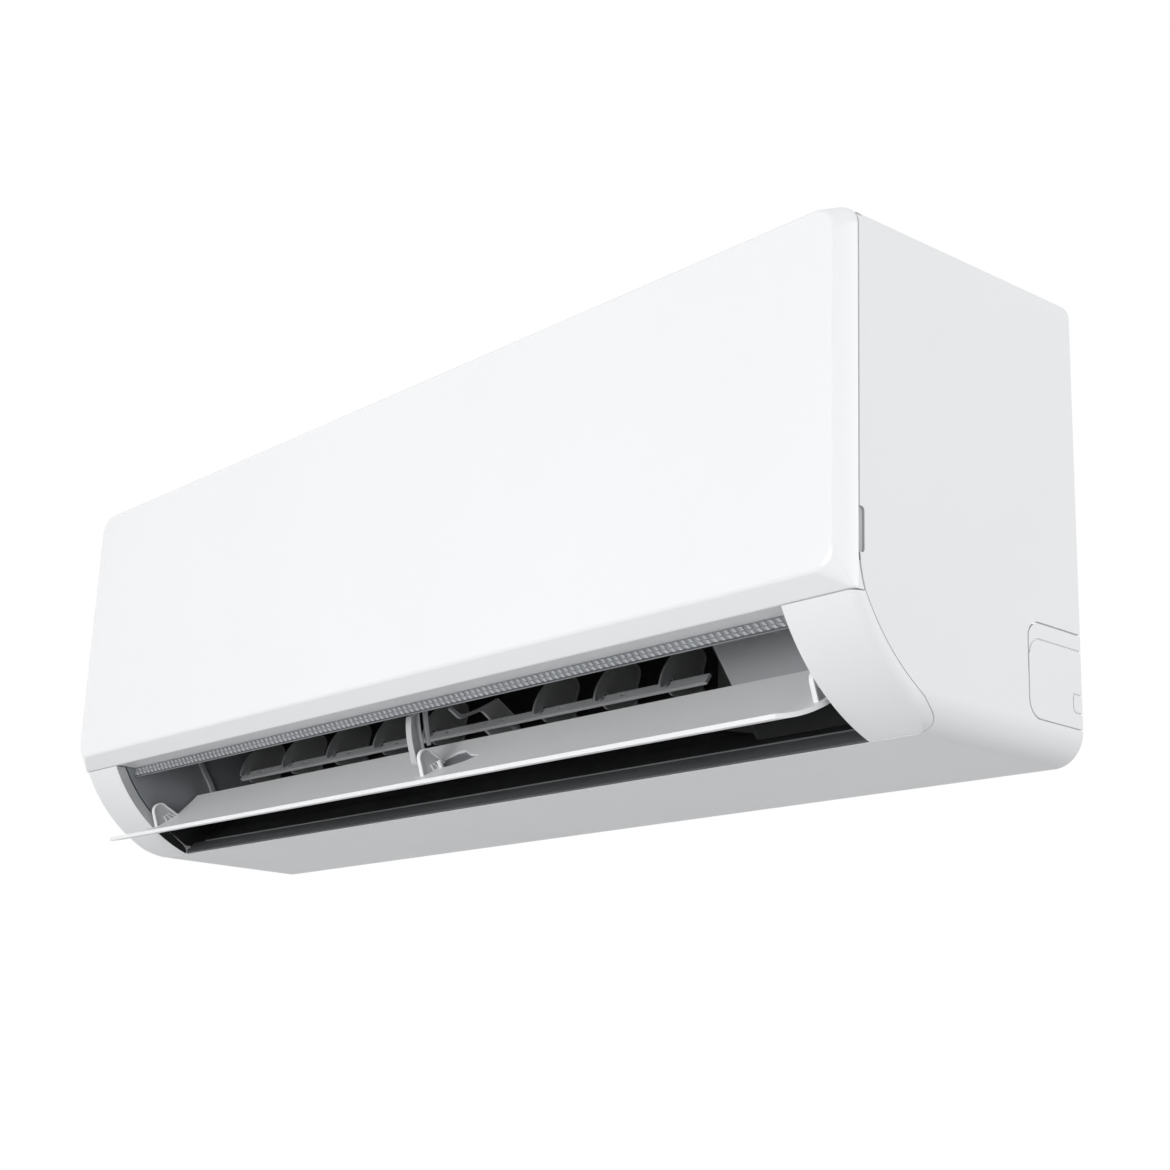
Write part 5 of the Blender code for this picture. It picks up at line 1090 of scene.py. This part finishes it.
vaneSizes = {
    "thick": 0.0018, "rim": 0.0012, "rimDeep": 0.0004, "pin": 0.0019, "foot": 0.0038, "linkPin": 0.0013,
    "reach": 0.016, "height": 0.0244, "notch": 0.0107, "clear": 0.0021,
    "root": [(0.0085, 0.0015), (0.012, 0.009), (0.0165, 0.015)],
    "leaf": [(0.015, 0.0268), (0.02, 0.0285), (0.0222, 0.0303), (0.0195, 0.0325), (0.012, 0.0345),
             (0.003, 0.035), (-0.006, 0.0335), (-0.014, 0.03), (-0.02, 0.025), (-0.024, 0.019),
             (-0.0245, 0.0135), (-0.021, 0.0095), (-0.012, 0.0065), (-0.006, 0.0015)],
    "crankThick": 0.003, "crankRim": 0.0006, "crankDeep": 0.0005, "armRoot": 0.0102,
    "crankRoot": [(0.01, 0.0015), (0.0155, 0.006), (0.019, 0.0125)],
    "armBelow": [(0.0102, 0.0285), (0.0104, 0.032), (0.0116, 0.0342), (0.016, 0.037), (0.023, 0.0412),
                 (0.0268, 0.0436), (0.0284, 0.0462), (0.029, 0.056)],
    "armAbove": [(0.0266, 0.0562), (0.0256, 0.0478), (0.0236, 0.0448), (0.016, 0.0398), (0.009, 0.0358),
                 (0.004, 0.0334), (-0.002, 0.0306), (-0.0068, 0.0284)],
    "linkBack": 0.003, "linkFront": 0.0044, "linkThick": 0.0024, "slotHalf": 0.0014, "slotLong": 0.006,
}


def makeVane(s):
    low, high = s["height"] - s["clear"], s["height"] + s["clear"]
    outline = s["root"] + [(0.0192, low - 0.0035), (0.0194, low), (s["notch"], low), (s["notch"], high)]
    x = floorSizes["first"]
    vane = standUp("vane1", x, outline + smoothLine(s["leaf"], 3), s["thick"], s["rim"], s["rimDeep"])
    soften(vane, 0.00022, 2, 30)
    merge(vane, post(x, 0, -0.004, 0.002, s["pin"]), post(x, 0, 0.0003, 0.003, s["foot"]), linkPost(s, x))
    return vane


def makeCrank(s):
    x = floorSizes["first"] + floorSizes["pitch"] * floorSizes["crank"]
    low = s["height"] - s["clear"]
    outline = (s["crankRoot"] + [(0.0195, low), (s["armRoot"], low)] + smoothLine(s["armBelow"], 3)
               + smoothLine(s["armAbove"], 3) + [(-0.0072, 0.01), (-0.005, 0.0015)])
    crank = standUp("swingCrank", x, outline, s["crankThick"], s["crankRim"], s["crankDeep"])
    soften(crank, 0.00025, 2, 30)
    merge(crank, post(x, 0, -0.012, 0.01, 0.0026, 24), post(x, 0, 0.0003, 0.0035, 0.0042, 24),
          linkPost(s, x))
    dress(crank, "bracketGrey", "swing_crank", "swing_crank", slot="light_grey")


def makeLink(s):
    def bar(name, left, long, back, front, rise):
        corners = [(s["reach"] + reach, s["height"] + height)
                   for reach, height in ((-back, -rise), (front, -rise), (front, rise), (-back, rise))]
        return fillShape(name, [onFloor(left, *corner) for corner in corners], (long, 0, 0))

    left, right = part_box("vane_link")[0][0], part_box("vane_link")[1][0]
    link = bar("vaneLink", left, right - left, s["linkBack"], s["linkFront"], s["linkThick"] / 2)
    for number in range(floorSizes["places"]):
        x = floorSizes["first"] + floorSizes["pitch"] * number
        ends = [onFloor(x, s["reach"], s["height"] + rise) for rise in (-0.005, 0.005)]
        carve(link, addRound("bore", *ends, 0.0017, 20))
    # an open slot beside each pin
    slot = bar("linkSlot", floorSizes["first"] + 0.018, s["slotLong"], s["slotHalf"], s["slotHalf"], 0.004)
    carve(link, repeatAlong(slot, floorSizes["places"] - 1, (floorSizes["pitch"], 0, 0)))
    soften(link, 0.0002)
    dress(link, "linkGrey", "vane_link", "vane_link", slot="mid_grey")


firstVane = makeVane(vaneSizes)
vanePlaces = [number for number in range(floorSizes["places"]) if number != floorSizes["crank"]]
for count, number in enumerate(vanePlaces, 1):
    shift = (floorSizes["pitch"] * number, 0, 0)
    vane = copyOf(firstVane, "vane%d" % count, shift) if number else firstVane
    dress(vane, "vaneGrey", "vane_%d" % count, "vane_%d" % count, slot="mid_grey")
makeCrank(vaneSizes)
makeLink(vaneSizes)
print("vanes, crank and link are made")


# cross-flow fan

fanSizes = {
    "left": -0.3655, "right": 0.206, "radius": 0.046, "blades": 35, "bladeDeep": 0.0105, "disc": 0.0025,
    "rings": 9, "ring": 0.0016, "hub": 0.012, "hubLong": 0.016, "bore": 0.0043, "thick": 0.0012,
}


def makeFan(s):
    centre, first, last, disc = ductSizes["fan"], s["left"], s["right"], s["disc"]
    inner = s["radius"] - s["bladeDeep"]
    spine = []
    for share in (0, 0.25, 0.5, 0.75, 1):
        radius = inner + (s["radius"] - 0.0006 - inner) * share
        lean = 0.12 * share + 0.16 * share * share
        spine.append((centre[0] + radius * cos(lean), centre[1] + radius * sin(lean)))
    blade = drawLine("fanWheel", across(first + disc / 2, spine))
    thicken(pushOut(blade, (last - first - disc, 0, 0)), s["thick"], 0.0)
    editAll(blade)
    bpy.ops.mesh.spin(steps=s["blades"] - 1, dupli=True, angle=2 * pi * (s["blades"] - 1) / s["blades"],
                      center=(0, centre[0], centre[1] + lift), axis=(1, 0, 0))
    leaveEdit()
    parts = []
    for number in range(s["rings"]):
        left = first + (last - disc - first) * number / (s["rings"] - 1)
        wide, opening = (disc, s["bore"]) if number in (0, s["rings"] - 1) else (s["ring"], inner - 0.001)
        ring = addAxle("fanRing", left, left + wide, centre, s["radius"], 70)
        parts.append(soften(bore(ring, left - 0.01, left + 0.01, centre, opening, 48), 0.0003))
    hub = addAxle("fanHub", last - s["hubLong"], last - 0.001, centre, s["hub"], 40)
    parts.append(soften(bore(hub, last - 0.02, last + 0.004, centre, s["bore"]), 0.0006))
    merge(blade, *parts)
    takeUp(blade)
    bpy.ops.object.shade_smooth_by_angle(angle=radians(30))
    dress(blade, "fanBlack", "fan", "fan_wheel", slot="charcoal")


makeFan(fanSizes)
print("fan is made")


# heat exchanger: thin fins on copper tubes, with return bends at the left

coilSizes = {
    "left": -0.3517, "right": 0.1937, "thick": 0.024, "fin": 0.00018, "finPitch": 0.0018,
    "tube": 0.0035, "row": 0.0062, "start": 0.01, "tubePitch": 0.0205,
    "banks": {"coil_front_lower": [(-0.165, 0.088), (-0.165, 0.186)],
              "coil_front_upper": [(-0.162, 0.196), (-0.119, 0.265)],
              "coil_rear": [(-0.097, 0.263), (-0.036, 0.196)]},
}


def makeBank(s, node):
    (ay, az), (by, bz) = s["banks"][node]
    run = sqrt((by - ay) ** 2 + (bz - az) ** 2)
    along = ((by - ay) / run, (bz - az) / run)
    out = (-along[1], along[0])

    def spot(distance, offset):
        return (ay + along[0] * distance + out[0] * offset, az + along[1] * distance + out[1] * offset)

    half, left, right = s["thick"] / 2, s["left"], s["right"]
    corners = [spot(0, -half), spot(run, -half), spot(run, half), spot(0, half)]
    bank = addPlate(pieceName(node), left + 0.0004, corners, s["fin"])
    repeatAlong(bank, int((right - left - 0.0008) / s["finPitch"]) + 1, (s["finPitch"], 0, 0))
    bank.data.materials.append(paint["finAluminium"])
    # tubes in two staggered rows; each pair is joined by a half ring at the left end
    count = int(run / s["tubePitch"])
    places = [s["start"] + s["tubePitch"] * i for i in range(count)]
    tubes = []
    for distance in places:
        for offset in (-s["row"], s["row"]):
            tube = addAxle("tube", left - 0.0017, right + 0.0014, spot(distance, offset), s["tube"], 12)
            tubes.append(soften(tube, 0))
    for offset in (-s["row"], s["row"]):
        for first, second in zip(places[0::2], places[1::2]):
            start, end = spot(first, offset), spot(second, offset)
            middle = (left - 0.0016, (start[0] + end[0]) / 2, (start[1] + end[1]) / 2 + lift)
            deselectAll()
            bpy.ops.mesh.primitive_circle_add(vertices=12, radius=s["tube"], rotation=(0, pi / 2, 0),
                                              location=(middle[0], start[0], start[1] + lift))
            bend = nameNew("bend")
            editAll(bend)
            bpy.ops.mesh.spin(steps=10, angle=pi, center=middle, axis=(0, along[1], -along[0]))
            leaveEdit()
            tubes.append(soften(turnOutwards(bend), 0))
    for tube in tubes:
        tube.data.materials.append(paint["bareCopper"])
    merge(bank, *tubes)
    dress(bank, None, "unit", node, slot="aluminium")


for node in coilSizes["banks"]:
    makeBank(coilSizes, node)
print("coil banks are made")


# filters: a moulded frame with a woven net behind its windows

filterSizes = {
    "face": -0.1873, "middle": 0.003, "half": 0.388, "columns": 5, "rail": 0.004,
    "thread": 0.0004, "mesh": 0.003, "rows": ((0.104, 0.156), (0.164, 0.21), (0.218, 0.264)),
}


def makeFilter(s, side, node):
    piece = tracedFrom(node, pieceName(node), 0.00025, 30)
    dress(piece, "filterFrame", node, node, slot="filter_mesh")
    pitch = (s["half"] - s["middle"]) / s["columns"]
    mesh, thread = s["mesh"], s["thread"]
    front, back = s["face"] - 0.0007, s["face"] - 0.0003
    net = []
    for column in range(s["columns"]):
        near = s["middle"] + pitch * column + s["rail"]
        left, right = span(side, near, s["middle"] + pitch * (column + 1) - s["rail"])
        for low, high in s["rows"]:
            upright = addBlock("thread", (left + mesh / 2, front, low),
                               (left + mesh / 2 + thread, back, high))
            net.append(repeatAlong(upright, int((right - left) / mesh), (mesh, 0, 0)))
            level = addBlock("thread", (left, front, low + mesh / 2), (right, back, low + mesh / 2 + thread))
            net.append(repeatAlong(level, int((high - low) / mesh), (0, 0, mesh)))
    weave = net[0]
    weave.name = pieceName(node) + "Net"
    merge(weave, *net[1:])
    dress(weave, "filterNet", node, slot="filter_mesh")


makeFilter(filterSizes, -1, "filter_left")
makeFilter(filterSizes, 1, "filter_right")
print("filters are made")


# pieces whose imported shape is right: edges softened, finish set

traced = {
    "rear_chassis": ("ductBlack", "charcoal", 0.0002),
    "partition": ("ductGrey", "mid_grey", 0.0003),
    "louver_shaft": ("groundSteel", "steel", 0.0003),
    "louver_motor": ("zincSheet", "galvanised", 0.0005),
    "swing_motor": ("zincSheet", "galvanised", 0.0005),
    "fan_motor": ("zincSheet", "galvanised", 0.0006),
    "motor_clamp": ("lightGrey", "light_grey", 0.0004),
    "fan_stub_shaft": ("groundSteel", "steel", 0.0004),
    "motor_shaft": ("groundSteel", "steel", 0.0004),
    "fan_bearing": ("bearingRubber", "rubber", 0.0005),
    "clamp_screw_1": ("groundSteel", "steel", 0.0002),
    "clamp_screw_2": ("groundSteel", "steel", 0.0002),
    "coil_plate_left": ("zincSheet", "galvanised", 0.0002),
    "coil_plate_right": ("zincSheet", "galvanised", 0.0002),
    "gas_pipe": ("bareCopper", "copper", 0.0),
    "liquid_pipe": ("bareCopper", "copper", 0.0),
    "gas_nut": ("turnedBrass", "brass", 0.0006),
    "liquid_nut": ("turnedBrass", "brass", 0.0005),
    "pipe_clamp": ("lightGrey", "light_grey", 0.0012),
    "electrical_box": ("boxBlack", "charcoal", 0.0008),
    "box_cover": ("lightGrey", "light_grey", 0.0006),
    "control_board": ("boardGreen", "board_green", 0.0002),
    "terminal_block": ("boxBlack", "charcoal", 0.0005),
    "display_board": ("boardGreen", "board_green", 0.0003),
    "emergency_button": ("buttonGrey", "light_grey", 0.0006),
    "wall_plate": ("zincSheet", "galvanised", 0.0002),
}
fine = {}
for node, (finish, slot, width) in traced.items():
    fine[node] = tracedFrom(node, pieceName(node), width, 40)
print("packed shapes are traced:", len(fine))


def addTo(node, piece, width, segments=2):
    merge(fine[node], soften(piece, width, segments))


# motors: crimped rings, screws and lead blocks

motorSizes = {"crimps": (0.2435, 0.289), "crimp": 0.0428, "bell": (0.2955, 0.2995, 0.026), "screws": 0.034}
cy, cz = ductSizes["fan"]
for x in motorSizes["crimps"]:
    addTo("fan_motor", addAxle("crimp", x, x + 0.003, (cy, cz), motorSizes["crimp"], 64), 0.0008, 3)
left, right, radius = motorSizes["bell"]
addTo("fan_motor", addAxle("endBell", left, right, (cy, cz), radius, 48), 0.0016, 4)
for turn in (45, 135, 225, 315):
    spot = (cy + motorSizes["screws"] * cos(radians(turn)), cz + motorSizes["screws"] * sin(radians(turn)))
    addTo("fan_motor", addAxle("motorScrew", 0.295, 0.2978, spot, 0.0032, 20), 0.0008)
leads = addBlock("leadBlock", (0.27, cy + 0.0405, cz - 0.009), (0.286, cy + 0.0475, cz + 0.009))
addTo("fan_motor", leads, 0.0012, 3)
low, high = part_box("louver_motor")
y, z = (low[1] + high[1]) / 2, (low[2] + high[2]) / 2 - lift
addTo("louver_motor", addAxle("backPlate", high[0] - 0.0006, high[0] + 0.0008, (y, z), 0.0118, 48), 0.0004)
addTo("louver_motor", addBlock("leadBlock", (low[0] + 0.004, y + 0.0105, z - 0.007),
                               (high[0] - 0.003, y + 0.0172, z + 0.007)), 0.0008)

# control board: chips (y, height, deep, tall, proud) and capacitors (y, height, radius, proud)

boardParts = {
    "chips": ((0.012, 0.012, 0.02, 0.016, 0.012), (0.04, 0.016, 0.012, 0.012, 0.0025),
              (0.04, 0.04, 0.018, 0.01, 0.0022), (0.012, 0.046, 0.016, 0.022, 0.014),
              (0.066, 0.014, 0.01, 0.03, 0.008), (0.064, 0.06, 0.016, 0.014, 0.01),
              (0.038, 0.074, 0.02, 0.012, 0.011)),
    "capacitors": ((0.02, 0.084, 0.0065, 0.02), (0.024, 0.1, 0.005, 0.014),
                   (0.056, 0.1, 0.0065, 0.018)),
}
low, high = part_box("control_board")
face, boardY, boardZ = high[0], low[1], low[2] - lift
for y, z, deep, tall, proud in boardParts["chips"]:
    if boardY + y + deep < high[1] and boardZ + z + tall < high[2] - lift:
        addTo("control_board", addBlock("chip", (face - 0.0002, boardY + y, boardZ + z),
                                        (face + proud, boardY + y + deep, boardZ + z + tall)), 0.0005)
for y, z, radius, proud in boardParts["capacitors"]:
    if boardY + y + radius < high[1] and boardZ + z + radius < high[2] - lift:
        addTo("control_board", addAxle("capacitor", face - 0.0002, face + proud, (boardY + y, boardZ + z),
                                       radius, 28), 0.0008)

# box cover: screws; wall plate: pressed beads

low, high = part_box("box_cover")
z = high[2] - lift - 0.008
for x in (low[0] + 0.008, high[0] - 0.008):
    screw = addRound("coverScrew", (x, low[1] + 0.0004, z), (x, low[1] - 0.0014, z), 0.0032, 24)
    addTo("box_cover", screw, 0.0005)
beads = [((-0.27, z), (0.27, z)) for z in (0.125, 0.162)]
beads += [((x, 0.066), (x, 0.222)) for x in (-0.095, 0.095)]
for start, end in beads:
    ends = [(x, -0.0011, z) for x, z in (start, end)]
    addTo("wall_plate", addRound("bead", *ends, 0.002, 16), 0.0004)

bodyOf = {node: body for body, members in frame["record"]["behaviour"]["bodies"].items() for node in members}
for node, (finish, slot, width) in traced.items():
    dress(fine[node], finish, bodyOf[node], node, slot=slot)
paintFaces(fine["control_board"], "boxBlack", lambda c, n: c.x > face + 0.0006)
print("works are dressed")
